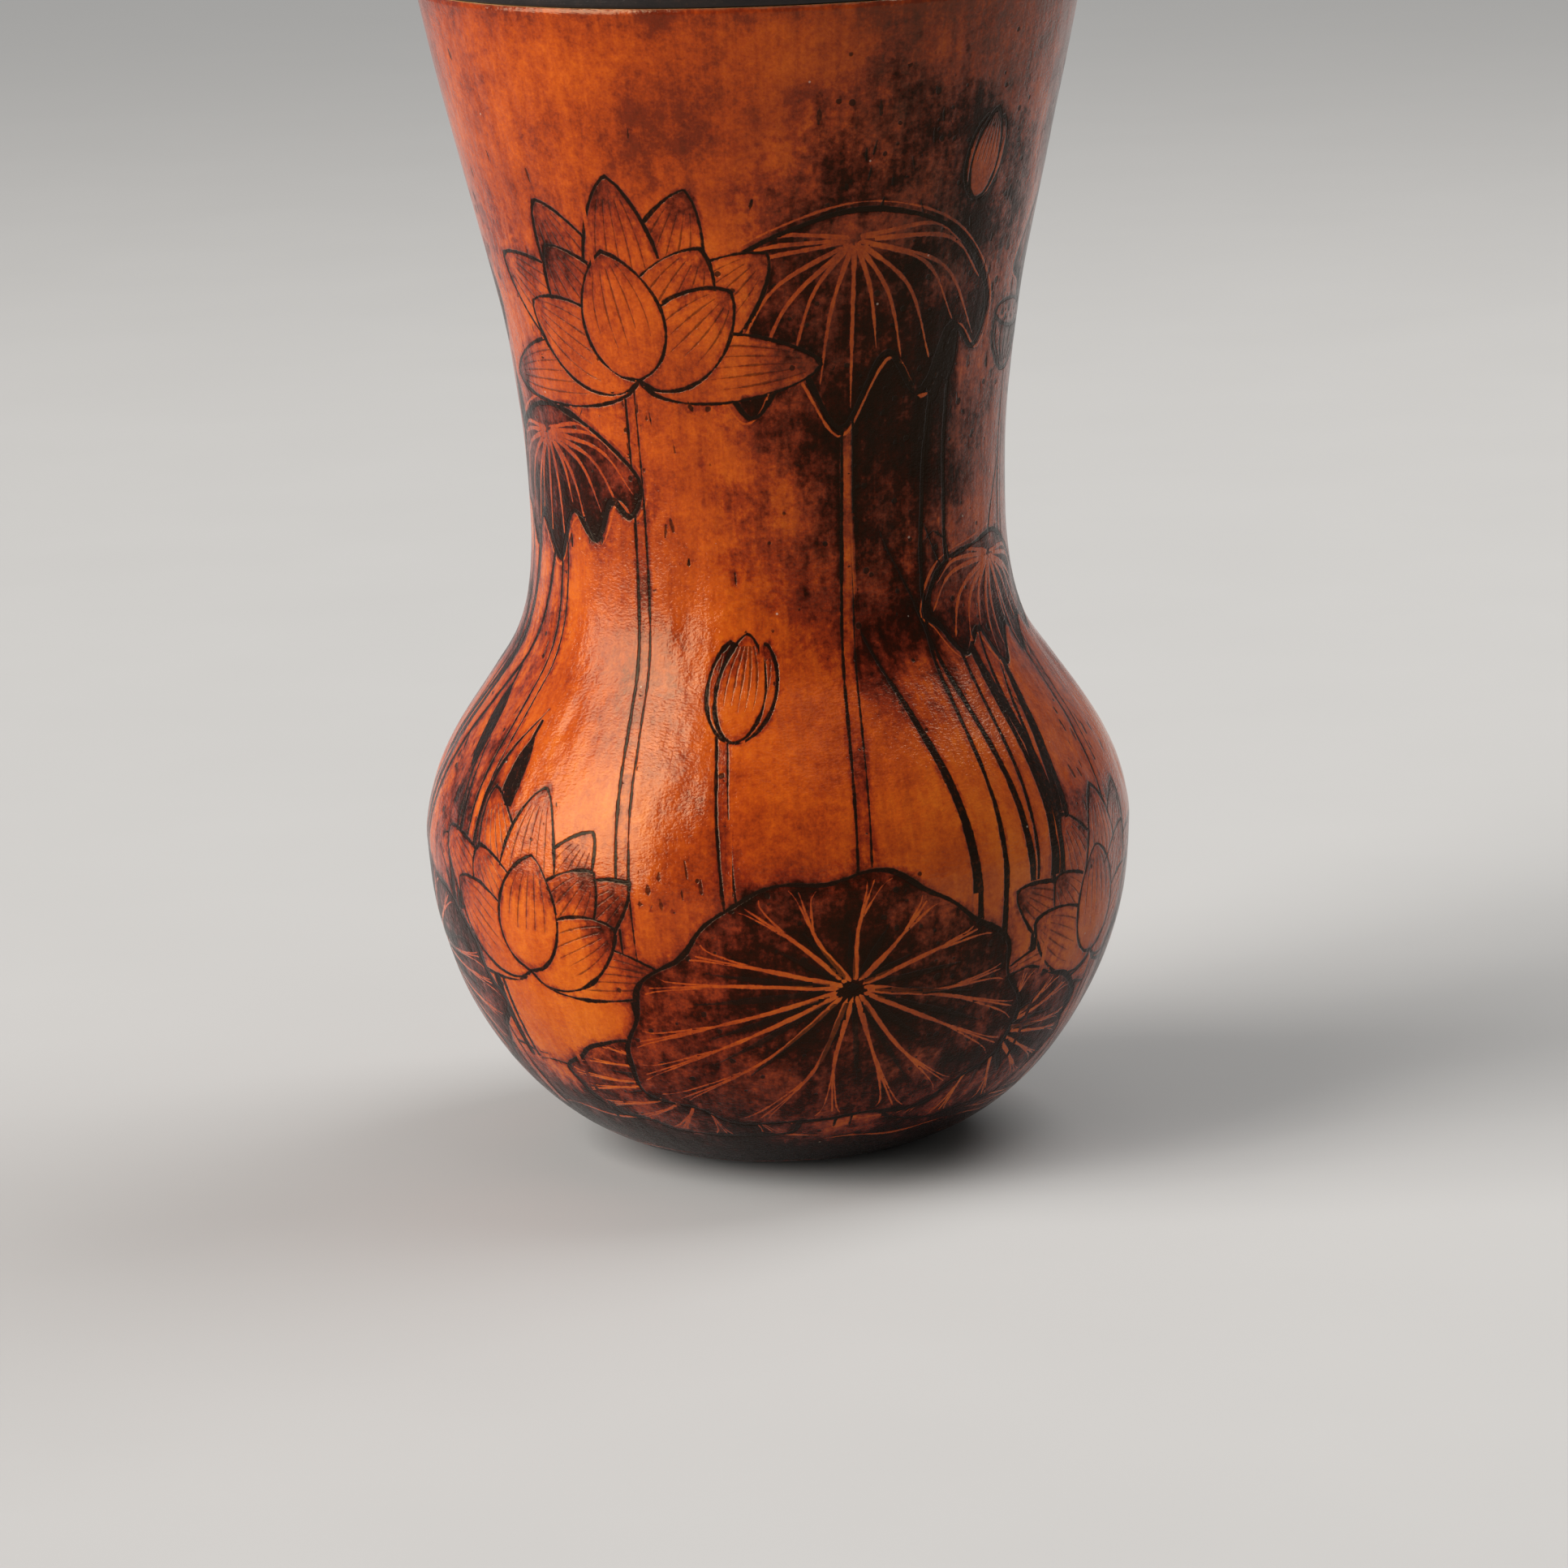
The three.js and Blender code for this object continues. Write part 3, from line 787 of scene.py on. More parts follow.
OPEN_LEAVES = (
    (-20, 22, 24, 14, -5, 70), (38, 25, 27, 17, 4, 76), (8, 31, 39, 29, 6, 71), (-88, 32, 34, 23, -8, 72),
    (102, 33, 34, 24, 5, 73), (-132, 28, 31, 21, 6, 74), (138, 25, 28, 17, -4, 75))


def burn_pond(drawing):
    """The whole pond, from what lies at the back to what lies in front."""

    def burn(motif, places):
        for azimuth, along, *rest in places:
            motif(drawing.at(azimuth, along), *rest)

    burn(cloud, SCORCH_AND_SHADE_CLOUDS)
    ripples(drawing)
    burn(dabs, DABS)
    burn(reeds, REEDS)
    burn(stalk, STALKS)
    burn(side_leaf, SIDE_LEAVES)
    burn(seed_pod, SEED_PODS)
    burn(bud, BUDS)
    burn(blossom, BLOSSOMS)
    burn(open_leaf, OPEN_LEAVES)


# Gourd skin


def axis_heights(node):
    """Heights where a turned CAD node's surface meets its axis, from the bottom up."""
    places = [vertex.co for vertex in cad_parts[node].data.vertices]
    on_axis = [place for place in places if math.hypot(place.x, place.y) / MM < ON_AXIS]
    return sorted({round(place.z / MM, 2) for place in on_axis})


def navel_rim():
    """Radius of the hollow inside the flat ring that the gourd stands on."""
    facing_down = -0.99
    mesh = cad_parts["gourd_shell"].data
    return min(
        math.hypot(*mesh.vertices[index].co.xy) / MM
        for face in mesh.polygons if face.normal.z < facing_down and face.center.z / MM < ON_AXIS
        for index in face.vertices)


def unevenness(azimuth, along, end):
    """How far the skin stands out of its outline: broad waves, and small dents."""
    draw = np.random.default_rng(SKIN_SEED)
    shift = np.zeros_like(along)
    for lobes in SKIN_LOBES:
        phase = draw.uniform(0, math.tau)
        shift += UNEVENNESS / lobes * np.sin(lobes * azimuth + phase + along / draw.uniform(14, 30))
    for count, level, spread, size, depth in DENTS:
        for dent in range(count):
            turn = turned_back(azimuth - draw.uniform(-math.pi, math.pi))
            across = turn * STREAK_RADIUS / (size * draw.uniform(0.5, 1.2))
            up = (along - draw.normal(level, spread)) / (size * draw.uniform(0.6, 1.8))
            shift -= depth * draw.uniform(0.3, 1) * np.exp(-across ** 2 - up ** 2)
    return shift * np.clip(along / EVEN_FOOT, 0, 1) * np.clip((end - along) / EVEN_MOUTH, 0, 1)


def skin_map(run, first, last, quads):
    """Map places for the corners of the quads and of the two fans: left to right round, and up the rows."""
    row = np.arange(len(run))
    room = np.where((row < first) | (row >= last), HIDDEN_ROOM, 1)
    level = np.concatenate([[0], np.cumsum(np.diff(run) * room[1:])])
    level /= level[-1]
    face_row, face_column = np.divmod(np.arange(quads), COLUMNS)
    left = face_column / COLUMNS
    right = (face_column + 1) / COLUMNS
    low = level[face_row]
    high = level[face_row + 1]
    quad_map = np.column_stack([left, low, right, low, right, high, left, high])
    left = left[:COLUMNS]
    right = right[:COLUMNS]
    foot = np.zeros(COLUMNS)
    top = np.ones(COLUMNS)
    navel_map = np.column_stack([left, foot, right, foot, left, foot])
    floor_map = np.column_stack([left, top, left, top, right, top])
    return np.concatenate([quad_map.ravel(), navel_map.ravel(), floor_map.ravel()])


def gourd_skin():
    """The gourd from the navel under its foot, up its outside, over the cut mouth and down inside."""
    outside = flowing(turned_outline("gourd_shell", 1), OUTSIDE_ROWS)
    inside_wall = flowing(turned_outline("gourd_shell", -1)[::-1], INSIDE_ROWS)
    navel_top, floor_top = axis_heights("gourd_shell")
    sink = np.linspace(NAVEL_START, 1, NAVEL_ROWS)
    navel = np.column_stack([navel_rim() * sink, navel_top * (1 - sink ** 2)])
    under = np.vstack([navel, np.linspace(navel[-1], outside[0], STAND_ROWS)[1:-1]])
    lip = np.linspace(outside[-1], inside_wall[0], LIP_ROWS)[1:-1]
    outline = np.vstack([under, outside, lip, inside_wall])
    rows = len(outline)
    first = len(under)
    last = first + OUTSIDE_ROWS
    run = run_along(outline)
    along = np.repeat(run - run[first], COLUMNS)
    end = run[last - 1] - run[first]
    azimuth = np.tile(np.linspace(-math.pi, math.pi, COLUMNS, endpoint=False), rows)
    outer = slice(first * COLUMNS, last * COLUMNS)
    drawing = BurntDrawing(
        azimuth[outer], along[outer], np.repeat(outside[:, 0], COLUMNS), band_faces(OUTSIDE_ROWS, COLUMNS))
    burn_pond(drawing)

    points = round_rows(outline, COLUMNS).reshape(-1, 3)
    scorch = np.zeros(len(points) + 2)
    scorch[outer] = np.clip(drawing.scorch, 0, 1)
    shift = np.zeros(len(points))
    shift[outer] = unevenness(azimuth[outer], along[outer], end) - BURN_DEPTH * scorch[outer]
    points[:, 0] += shift * np.sin(azimuth)
    points[:, 1] -= shift * np.cos(azimuth)
    navel_pole = np.full(COLUMNS, len(points))
    points = np.vstack([points, (0, 0, navel_top), (0, 0, floor_top)])
    quads = band_faces(rows, COLUMNS)
    column = np.arange(COLUMNS)
    following = (column + 1) % COLUMNS
    top_row = (rows - 1) * COLUMNS
    fans = np.vstack([
        np.column_stack([navel_pole, following, column]),
        np.column_stack([navel_pole + 1, top_row + column, top_row + following])])
    mesh = mesh_of("gourd_skin", points, quads.tolist() + fans.tolist())

    place = np.zeros((len(points), 3))
    place[:-2] = np.column_stack([STREAK_RADIUS * np.sin(azimuth), -STREAK_RADIUS * np.cos(azimuth), along])
    mesh.attributes.new("skin_place", "FLOAT_VECTOR", "POINT").data.foreach_set("vector", place.ravel())
    mesh.attributes.new("scorch", "FLOAT", "POINT").data.foreach_set("value", scorch)
    drawn = slice(first * COLUMNS, first * COLUMNS + len(drawing.faces))
    for name, strokes in zip(("stroke_near", "stroke_next"), drawing.strokes):
        corners = np.tile(NO_STROKE, (len(quads), 4, 1))
        corners[drawn] = strokes
        values = np.concatenate([corners.ravel(), np.tile(NO_STROKE, len(fans) * 3)])
        mesh.attributes.new(name, "FLOAT_VECTOR", "CORNER").data.foreach_set("vector", values)
    mesh.uv_layers.new(name="skin_map").data.foreach_set("uv", skin_map(run, first, last, len(quads)))
    bare = np.zeros(len(quads) + len(fans), int)
    bare[(last - 1) * COLUMNS:len(quads)] = 1
    bare[len(quads) + COLUMNS:] = 1
    mesh.polygons.foreach_set("material_index", bare)
    return mesh, end


# Turned pieces


def section(node):
    """The closed outline of a turned CAD node, cut on the +X side of its axis: up outside, down inside."""
    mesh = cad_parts[node].data
    neighbours = {}
    for face in mesh.polygons:
        spots = []
        for index in face.vertices:
            place = mesh.vertices[index].co
            cut = abs(place.y) / MM < ON_CUT and place.x > 0
            spots.append((round(place.x / MM, 2), round(place.z / MM, 2)) if cut else None)
        for start, end in zip(spots, spots[1:] + spots[:1]):
            if start and end and start != end:
                neighbours.setdefault(start, []).append(end)
                neighbours.setdefault(end, []).append(start)
    loop = [min(neighbours)]
    onward = neighbours[loop[0]]
    while onward:
        loop.append(onward[0])
        onward = [spot for spot in neighbours[loop[-1]] if spot not in loop]
    loop = np.array(loop)
    following = np.roll(loop, -1, axis=0)
    area = (loop[:, 0] * following[:, 1] - following[:, 0] * loop[:, 1]).sum()
    return loop if area > 0 else loop[::-1]


def softened(loop, arris=ARRIS, spacing=SPACING):
    """A closed outline with rounded corners and points every little way along it."""
    rounded = []
    for before, corner, after in zip(np.roll(loop, 1, axis=0), loop, np.roll(loop, -1, axis=0)):
        back = before - corner
        onward = after - corner
        back_length = np.linalg.norm(back)
        onward_length = np.linalg.norm(onward)
        if np.dot(back, onward) / (back_length * onward_length) < NEARLY_STRAIGHT:
            rounded.append(corner)
            continue
        cut = min(arris, 0.4 * back_length, 0.4 * onward_length)
        start = corner + back * cut / back_length
        end = corner + onward * cut / onward_length
        for share in np.linspace(0, 1, 5):
            rounded.append((1 - share) ** 2 * start + 2 * share * (1 - share) * corner + share ** 2 * end)
    fine = []
    for start, end in zip(rounded, rounded[1:] + rounded[:1]):
        steps = max(1, int(np.ceil(np.linalg.norm(end - start) / spacing)))
        fine.append(start + (end - start) * np.arange(steps)[:, None] / steps)
    return np.vstack(fine)


def turned_mesh(name, loop):
    points = round_rows(loop, TURNED_COLUMNS).reshape(-1, 3)
    faces = band_faces(len(loop) + 1, TURNED_COLUMNS) % len(points)
    return mesh_of(name, points, faces.tolist())


def scored(loop, axis, level, width, depth, low):
    """A line cut into an outline at a level on one axis (0 is radius, 1 height), past low on the other."""
    other = 1 - axis
    cut = depth * np.exp(-((loop[:, axis] - level) / width) ** 2)
    cut_loop = loop.copy()
    cut_loop[:, other] -= np.where(loop[:, other] > low, cut, 0)
    return cut_loop


def mouth_ring():
    loop = softened(section("mouth_ring"), spacing=FINE_SPACING)
    outer, top = loop.max(0)
    for down, width, depth in RING_LINES:
        loop = scored(loop, 1, top - down, width, depth, outer - RING_SIDE)
    return turned_mesh("mouth_ring_turned", loop)


def lid_frame():
    loop = softened(section("lid_frame"), spacing=FINE_SPACING)
    outer, top = loop.max(0)
    for inwards, width, depth in LID_LINES:
        loop = scored(loop, 0, outer - inwards, width, depth, top - LID_TOP)
    down, width, depth = LID_SIDE_LINE
    loop = scored(loop, 1, loop[:, 1].max() - down, width, depth, outer - LID_SIDE)
    return turned_mesh("lid_frame_turned", loop)


# Geometry Nodes patterns, in metres


class Pattern(Nodes):
    """A Geometry Nodes tree with named sizes, which makes a finished mesh from a plain one."""

    def __init__(self, name, sizes):
        super().__init__(bpy.data.node_groups.new(name, "GeometryNodeTree"))
        sockets = self.tree.interface
        for way in ("INPUT", "OUTPUT"):
            sockets.new_socket("Shape", in_out=way, socket_type="NodeSocketGeometry")
        self.values = {}
        for size, value in sizes.items():
            kind = "NodeSocketInt" if isinstance(value, int) else "NodeSocketFloat"
            socket = sockets.new_socket(size, in_out="INPUT", socket_type=kind)
            self.values[socket.identifier] = value
        self.inputs = self.node("NodeGroupInput")

    def size(self, name):
        return self.inputs.out(name)

    def vector(self, x, y, z):
        return self.node("ShaderNodeCombineXYZ", inputs=(x, y, z))

    def step(self, kind, inputs=()):
        return self.node("GeometryNode" + kind, inputs=inputs)

    def circle(self, sides, radius):
        return self.step("CurvePrimitiveCircle", {"Resolution": sides, "Radius": self.size(radius)})

    def joined(self, shapes):
        both = self.step("JoinGeometry")
        for shape in reversed(shapes):
            self.tree.links.new(shape.socket, both.socket.node.inputs[0])
        return both

    def merged(self, shape):
        return self.step("MergeByDistance", {"Geometry": shape, "Distance": MERGED * MM})

    def made(self, name, plain, shape, material, arris=0):
        shape = self.step("RealizeInstances", (shape,))
        shape = self.step("SetMaterial", {"Geometry": shape, "Material": material})
        self.tree.links.new(shape.socket, self.tree.nodes.new("NodeGroupOutput").inputs[0])
        piece = object_of(name, plain)
        modifier = piece.modifiers.new(name, "NODES")
        modifier.node_group = self.tree
        for identifier, value in self.values.items():
            modifier[identifier] = value
        if arris:
            rounding = piece.modifiers.new("arris", "BEVEL")
            rounding.width = arris * MM
            rounding.segments = 2
            rounding.angle_limit = SCREEN_ARRIS_ANGLE
        graph = bpy.context.evaluated_depsgraph_get()
        mesh = bpy.data.meshes.new_from_object(piece.evaluated_get(graph), depsgraph=graph)
        piece.modifiers.clear()
        piece.data = mesh
        return piece


def line_mesh(name, points, closed_loop=False):
    count = len(points)
    edges = [(index, index + 1) for index in range(count - 1)]
    if closed_loop:
        edges.append((count - 1, 0))
    mesh = bpy.data.meshes.new(name)
    mesh.from_pydata((np.asarray(points) * MM).tolist(), edges, [])
    return mesh


def coil_route():
    """The middle line of the coil's wire: off the hoop, round a bend, then inwards and down to a free end."""
    low, high = (np.array(corner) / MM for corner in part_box("sound_coil"))
    level = high[2] - WIRE / 2
    drop = high[2] - low[2] - WIRE
    bend_start = high[0] - WIRE
    turn = np.linspace(0, math.pi / 2, BEND_POINTS)
    bend = np.column_stack([
        bend_start - WIRE_BEND * np.sin(turn), WIRE_BEND * (1 - np.cos(turn)), np.full(len(turn), level)])
    share = np.linspace(0, 1, COIL_TURNS * COIL_TURN_POINTS + 1)[1:]
    radius = math.hypot(bend[-1, 0], bend[-1, 1]) * (1 - share) + COIL_EYE * share
    angle = math.atan2(bend[-1, 1], bend[-1, 0]) + math.tau * COIL_TURNS * share
    spiral = np.column_stack([radius * np.cos(angle), radius * np.sin(angle), level - drop * share])
    end = spiral[-1] + (spiral[-1] - spiral[-2]) / np.linalg.norm(spiral[-1] - spiral[-2]) * WIRE
    return np.vstack([(high[0], 0, level), bend, spiral, end])


def sound_coil(material):
    pattern = Pattern("wire_sweep", {"Wire radius": WIRE / 2 * MM, "Wire sides": WIRE_SIDES})
    path = pattern.step("MeshToCurve", {"Mesh": pattern.inputs})
    ring = pattern.circle(pattern.size("Wire sides"), "Wire radius")
    swept = pattern.step("CurveToMesh", {"Curve": path, "Profile Curve": ring, "Fill Caps": True})
    swept = pattern.step("SetShadeSmooth", {"Geometry": swept, "Shade Smooth": True})
    return pattern.made("sound_coil_wire", line_mesh("coil_route", coil_route()), swept, material)


def petal_hole():
    """A pointed hole one long and one wide to each side, with its point at the origin."""
    share = np.linspace(0, 1, PETAL_POINTS)[:, None]
    pull = 1 / 0.75
    bends = np.array([(0, 0, 0), (0.4, pull, 0), (1, pull, 0), (1, 0, 0)])
    side = ((1 - share) ** 3 * bends[0] + 3 * (1 - share) ** 2 * share * bends[1]
            + 3 * (1 - share) * share ** 2 * bends[2] + share ** 3 * bends[3])
    return np.vstack([side, (side * (1, -1, 1))[-2:0:-1]])


def lid_screen(material):
    low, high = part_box("lid_screen")
    dome = high.x - SCREEN_SEAT * MM
    ring_width = (dome - (SCREEN_BORDER + BOSS_RADIUS - SCREEN_BAR) * MM) / len(PETAL_COUNTS)
    length = ring_width - SCREEN_BAR * MM
    sizes = {
        "Rim radius": high.x, "Dome radius": dome, "Bottom": low.z, "Thickness": SCREEN_THICKNESS * MM,
        "Rise": high.z - low.z - SCREEN_THICKNESS * MM, "Petal length": length}
    for ring, count in enumerate(PETAL_COUNTS):
        start = BOSS_RADIUS * MM + ring * ring_width
        half = math.pi * (start + PETAL_WIDEST * length) / count - SCREEN_BAR * MM / 2
        sizes.update({
            f"Petals {ring}": count, f"Petal start {ring}": start, f"Petal half width {ring}": half})
    pattern = Pattern("pierced_dome", sizes)
    number = pattern.step("InputIndex")
    rim_line = pattern.circle(SCREEN_SIDES, "Rim radius")
    dome_line = pattern.circle(SCREEN_SIDES, "Dome radius")
    outlines = [dome_line]
    for ring in range(len(PETAL_COUNTS)):
        stretch = pattern.vector(
            pattern.size("Petal length") / MM, pattern.size(f"Petal half width {ring}") / MM, 1.0)
        start = pattern.vector(pattern.size(f"Petal start {ring}"), 0.0, 0.0)
        hole = pattern.step("Transform", {"Geometry": pattern.inputs, "Scale": stretch, "Translation": start})
        hole = pattern.step("MeshToCurve", {"Mesh": hole})
        count = pattern.size(f"Petals {ring}")
        spots = pattern.step("Points", {"Count": count})
        turn = pattern.vector(0.0, 0.0, (number + ring / 2) * math.tau / count)
        holes = pattern.step("InstanceOnPoints", {"Points": spots, "Instance": hole, "Rotation": turn})
        outlines.append(pattern.step("RealizeInstances", (holes,)))
    seat = pattern.step("FillCurve", {"Curve": pattern.joined((rim_line, dome_line))})
    pierced = pattern.step("FillCurve", {"Curve": pattern.joined(outlines)})
    sheet = pattern.merged(pattern.joined((seat, pierced)))
    sheet = pattern.step("SubdivideMesh", {"Mesh": sheet, "Level": 2})
    radius = pattern.length(pattern.step("InputPosition"))
    share = (radius / pattern.size("Dome radius")).least(1.0)
    lift = pattern.vector(0.0, 0.0, pattern.size("Bottom") + pattern.size("Rise") * (1 - share * share))
    sheet = pattern.step("SetPosition", {"Geometry": sheet, "Offset": lift})
    thickness = pattern.vector(0.0, 0.0, pattern.size("Thickness"))
    top = pattern.step("ExtrudeMesh", {"Mesh": sheet, "Offset": thickness, "Individual": False})
    under = pattern.step("FlipFaces", {"Mesh": sheet})
    whole = pattern.merged(pattern.joined((under, top)))
    plain = line_mesh("petal_hole", petal_hole(), True)
    return pattern.made("lid_screen_pierced", plain, whole, material, SCREEN_ARRIS)


# Finishes


def gourd_finish(end):
    """Amber lacquered gourd with its burnt drawing."""
    make = Finish("lacquered_gourd", {"Specular IOR Level": 0.4, "Specular Tint": LACQUER_TINT})
    skin = make.attribute("skin_place", "Vector")
    skin_height = make.parts(skin)[2]
    cloudy = make.noise(15, 3)
    mottle = make.noise(2.8, 4, 0.6)
    freckle = make.noise(0.8, 3, 0.6)
    fibre = make.noise(0.5, 4, 0.62, skin, (1, 1, 0.04))
    band = make.noise(2.6, 3, 0.55, skin, (1, 1, 0.1))
    grain = make.noise(0.26)

    tone = 0.5 + cloudy.swing(0.8) + mottle.swing(0.35) + fibre.swing(0.18)
    tone = tone + band.swing(0.22) + freckle.swing(0.36) + grain.swing(0.2)
    # Painted shade: darker up the neck towards the mouth, where the light falls off, and a painted shadow
    # under the mouth ring in the last 4 mm.
    tone = tone - 0.12 * skin_height.between(0.58 * end, 0.95 * end) - 0.1 * skin_height.between(end - 4, end)
    amber = make.ramp(tone, AMBER)

    jitter = make.noise(0.6, 3, 0.6).swing(0.2) + make.noise(2.6).swing(0.25)
    burnt_line = 0
    spared = 0
    toasted = 0
    for name in ("stroke_near", "stroke_next"):
        distance, half, ink = make.parts(make.attribute(name, "Vector"))
        depth = half + jitter - abs(distance)
        line = depth.between(-0.05, 0.08)
        burnt_line = (line * ink).most(burnt_line)
        spared = (line * (0 - ink)).most(spared)
        toasted = (depth.between(-0.7, 0.1) * ink).most(toasted)

    scorch = make.attribute("scorch", "Fac") + 0.17 * toasted
    smoky = make.noise(5.5, 3)
    blot = make.noise(1.4, 4, 0.6)
    grit = make.noise(0.5, 3, 0.6)
    streak = make.noise(1.3, 3, 0.6, skin, (1, 1, 0.12))
    touched = (scorch * 5).least(1)
    ragged = smoky.swing(1.1) + blot.swing(0.8) + grit.swing(0.6) + streak.swing(0.5)
    wash = (scorch + touched * ragged).between(0.02, 1.06) * touched
    dots = make.cells(1.3)
    dot_chance = make.chance(dots)
    dot_size = 0.08 + 0.2 * dot_chance.out("Green")
    stipple = (dot_size + jitter - dots).between(-0.03, 0.05) * (dot_chance < 0.8 * scorch - 0.1) * 0.85
    burn = wash * (1 - 0.94 * spared)
    coloured = make.mix(1.0, amber, make.ramp(burn, SCORCHED), "MULTIPLY")
    line_or_dot = (burnt_line * (0.72 + 0.6 * grit)).most(stipple * (1 - spared)).least(1)
    coloured = make.mix(line_or_dot, coloured, CHAR)
    glue_edge = skin_height - (end - 0.22) + grit.swing(0.4)
    glue = glue_edge.between(0, 0.12) * (blot.between(0.35, 0.6) * 0.4)
    coloured = make.mix(glue, coloured, GLUE)
    spots = make.cells(2.6)
    specks = (0.045 - spots).between(-0.008, 0.012) * (make.chance(spots) < 0.25)
    coloured = make.mix(0.5 * specks, coloured, SPECK)

    creases = make.noise(0.23, place=skin, stretch=(0.5, 0.5, 1))
    dimples = make.noise(2.2, place=skin, stretch=(1, 1, 0.5))
    height = 0.05 * grain + 0.085 * creases + 0.03 * fibre + 0.1 * mottle + 0.3 * dimples
    height = height - 0.09 * line_or_dot - 0.06 * burn
    rough = 0.14 + grain.swing(0.14) + mottle.swing(0.1) + 0.12 * burn + 0.25 * specks
    looks = {"Base Color": coloured, "Roughness": rough, "Normal": make.bump(height, 0.5)}
    make.feed(looks)
    charred = burn.between(0.25, 0.85).most(line_or_dot)
    make.overlay(charred, {"Specular IOR Level": 0.13, "Specular Tint": LACQUER_TINT, **looks})
    return make.material


def pith_finish():
    """The raw inside of the gourd: pale, fibrous and dry."""
    make = Finish("gourd_pith", {"Specular IOR Level": 0.25})
    patch = make.noise(7, 4, 0.6)
    fibre = make.noise(0.9, 4, 0.65, stretch=(1, 1, 0.2))
    colour = make.ramp(0.5 + patch.swing(0.8) + fibre.swing(0.8), PITH)
    return make.fed(colour, 0.75 + fibre.swing(0.3), make.bump(0.25 * fibre + 0.2 * patch))


def hardwood_finish():
    """Black turned hardwood, waxed, with a little brown left in its grain."""
    make = Finish("black_hardwood", {"Coat Weight": 0.03, "Coat Roughness": 0.25, "Specular IOR Level": 0.26})
    x, y, z = make.parts(make.place)
    square = x * x + y * y
    radius = square.math("SQRT", square)
    grain = make.noise(1.1, 4, 0.65, stretch=(1, 0.12, 1))
    pores = make.noise(0.22, stretch=(1, 0.08, 1))
    lathe = make.noise(0.16, place=make.node("ShaderNodeCombineXYZ", inputs=(radius, 0.0, z)))
    colour = make.ramp(0.5 + grain.swing(0.9) + pores.swing(0.3), BLACK_WOOD)
    height = 0.03 * lathe - 0.025 * pores.between(0.62, 0.75) + 0.03 * grain
    return make.fed(colour, 0.42 + grain.swing(0.2) + lathe.swing(0.15), make.bump(height, 0.6))


def boxwood_finish():
    """Close-grained yellow boxwood, carved and waxed."""
    make = Finish("boxwood", {"Specular IOR Level": 0.45})
    grain = make.noise(1.3, 4, 0.6, stretch=(0.14, 1, 1))
    patch = make.noise(8, 3)
    fleck = make.noise(0.3, stretch=(0.1, 1, 1))
    colour = make.ramp(0.5 + grain.swing(0.8) + patch.swing(0.7) + fleck.swing(0.3), BOXWOOD)
    return make.fed(colour, 0.42 + grain.swing(0.25), make.bump(0.06 * grain + 0.03 * fleck, 0.7))


def brass_finish():
    """Drawn brass, lightly tarnished."""
    make = Finish("brass", {})
    patch = make.noise(4.5, 4, 0.6)
    spots = make.noise(0.7, 3, 0.6)
    drawn = make.noise(0.9, stretch=(1, 1, 8))
    dull = (0.6 * patch + 0.4 * spots).between(0.45, 0.68)
    colour = make.mix(dull, BRIGHT_BRASS, TARNISH)
    roughness = 0.25 + 0.25 * dull + drawn.swing(0.15)
    return make.fed(
        colour, roughness, make.bump(0.006 * drawn + 0.012 * spots, 0.5), Metallic=1 - 0.25 * dull)


def clay_finish():
    """Matt tamped clay and lime, with grit in it."""
    make = Finish("tamped_clay", {"Specular IOR Level": 0.15})
    patch = make.noise(5, 4, 0.6)
    grit = make.noise(0.6, 3, 0.65)
    colour = make.ramp(0.5 + patch.swing(0.7) + grit.swing(0.6), CLAY)
    height = 0.3 * patch + 0.2 * grit - 0.15 * make.cells(1.1)
    return make.fed(colour, 0.9 + grit.swing(0.1), make.bump(height))


# Studio and camera


def looked_at(nodes):
    """1 where a surface is seen, straight or in a reflection, and 0 where it only lights the object."""
    ray = nodes.node("ShaderNodeLightPath", output="Is Camera Ray")
    return ray.most(ray.out("Is Glossy Ray")).most(ray.out("Is Transmission Ray"))


def studio():
    """A pale floor that passes into a pale backdrop, a softbox of three panels on the left, one light from
    the back on the right and one from above."""
    corners = [(-1, -1), (1, -1), (1, 1), (-1, 1)]
    sheet = bpy.data.meshes.new("floor")
    sheet.from_pydata([(FLOOR_HALF * x, FLOOR_HALF * y, 0) for x, y in corners], [], [(0, 1, 2, 3)])
    floor = object_of("floor", sheet)
    paper = Finish("pale_floor", {"Roughness": 0.85, "Specular IOR Level": 0.2})
    paper.feed({"Base Color": paper.ramp(paper.noise(40, 3), PALE_FLOOR)})
    paper.overlay(paper.length(paper.place).between(*FLOOR_FADE) * looked_at(paper), {
        "Base Color": (0, 0, 0, 1), "Specular IOR Level": 0.0,
        "Emission Color": BACKDROP_COLOUR, "Emission Strength": BACKDROP})
    sheet.materials.append(paper.material)

    world = bpy.data.worlds.new("studio")
    bpy.context.scene.world = world
    world.use_nodes = True
    background = world.node_tree.nodes["Background"]
    background.inputs["Color"].default_value = BACKDROP_COLOUR
    strength = SURROUND + (BACKDROP - SURROUND) * looked_at(Nodes(world.node_tree))
    world.node_tree.links.new(strength.socket, background.inputs["Strength"])

    for name, azimuth, elevation, distance, size, watts, colour in LIGHTS:
        data = bpy.data.lights.new(name, "AREA")
        data.shape = "RECTANGLE"
        data.size, data.size_y = size
        data.energy = watts
        data.color = colour
        lamp = object_of(name, data)
        turn = math.radians(azimuth)
        rise = math.radians(elevation)
        away = Vector((math.sin(turn) * math.cos(rise), -math.cos(turn) * math.cos(rise), math.sin(rise)))
        lamp.location = Vector((0, 0, LAMP_AIM * MM)) + away * distance
        lamp.rotation_euler = away.to_track_quat("Z", "Y").to_euler()


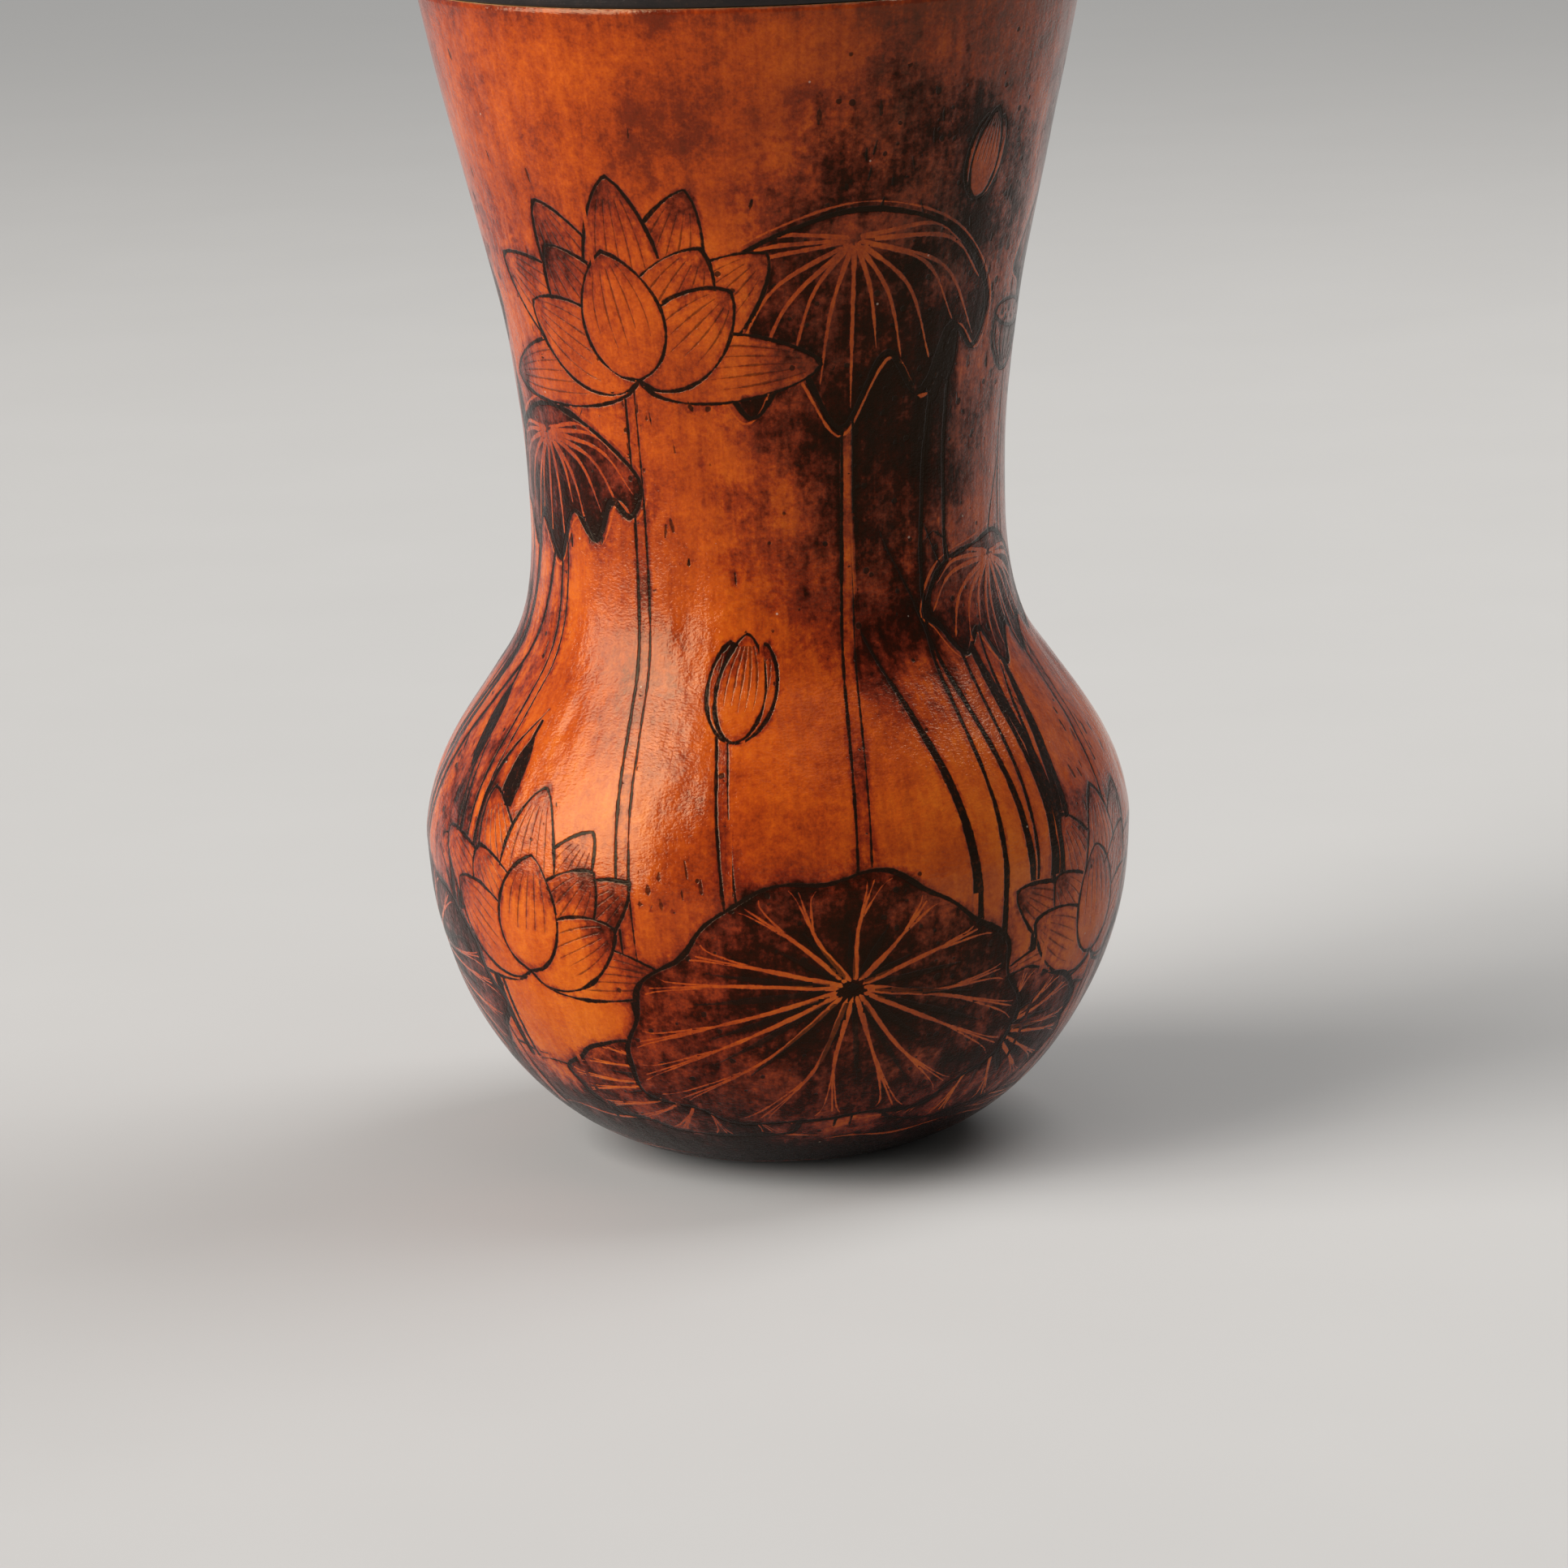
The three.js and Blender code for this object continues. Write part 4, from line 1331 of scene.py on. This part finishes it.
def camera():
    right = Vector((1, 0, 0))
    forward = Vector((0, math.cos(CAMERA_PITCH), -math.sin(CAMERA_PITCH)))
    upward = right.cross(forward)
    across = math.cos(CAMERA_ROLL) * right - math.sin(CAMERA_ROLL) * upward
    up = math.sin(CAMERA_ROLL) * right + math.cos(CAMERA_ROLL) * upward
    focal = LENS / SENSOR * FRAME_PIXELS
    shift_right = (BASE_PIXEL[0] - FRAME_PIXELS / 2) * CAMERA_DISTANCE / focal
    shift_up = (FRAME_PIXELS / 2 - BASE_PIXEL[1]) * CAMERA_DISTANCE / focal
    place = -(shift_right * across + shift_up * up + CAMERA_DISTANCE * forward) * MM
    data = bpy.data.cameras.new("camera")
    data.lens = LENS
    data.sensor_width = SENSOR
    data.clip_start = NEAREST_SEEN * MM
    taker = object_of("camera", data)
    taker.matrix_world = Matrix.Translation(place) @ Matrix((across, up, -forward)).transposed().to_4x4()
    bpy.context.scene.camera = taker


def place_piece(piece, node, body):
    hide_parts(node)
    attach(piece, body)


def shown(mesh, *materials):
    for material in materials:
        mesh.materials.append(material)
    return object_of(mesh.name, mesh)


camera()
studio()
hardwood = hardwood_finish()
brass = brass_finish()
skin_mesh, skin_end = gourd_skin()
skin = shown(skin_mesh, gourd_finish(skin_end), pith_finish())
place_piece(skin, "gourd_shell", "gourd")
place_piece(shown(mouth_ring(), hardwood), "mouth_ring", "gourd")
place_piece(shown(lid_frame(), hardwood), "lid_frame", "lid")
retainer = turned_mesh("lid_retainer_turned", softened(section("lid_retaining_ring"), THIN_ARRIS))
place_piece(shown(retainer, hardwood), "lid_retaining_ring", "lid")
hoop = turned_mesh("coil_hoop_turned", softened(section("coil_hoop"), THIN_ARRIS))
place_piece(shown(hoop, brass), "coil_hoop", "coil")
place_piece(sound_coil(brass), "sound_coil", "coil")
place_piece(lid_screen(boxwood_finish()), "lid_screen", "lid")
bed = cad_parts["tamped_bed"]
bed.material_slots[0].material = clay_finish()
bpy.context.scene.view_settings.view_transform = "Standard"
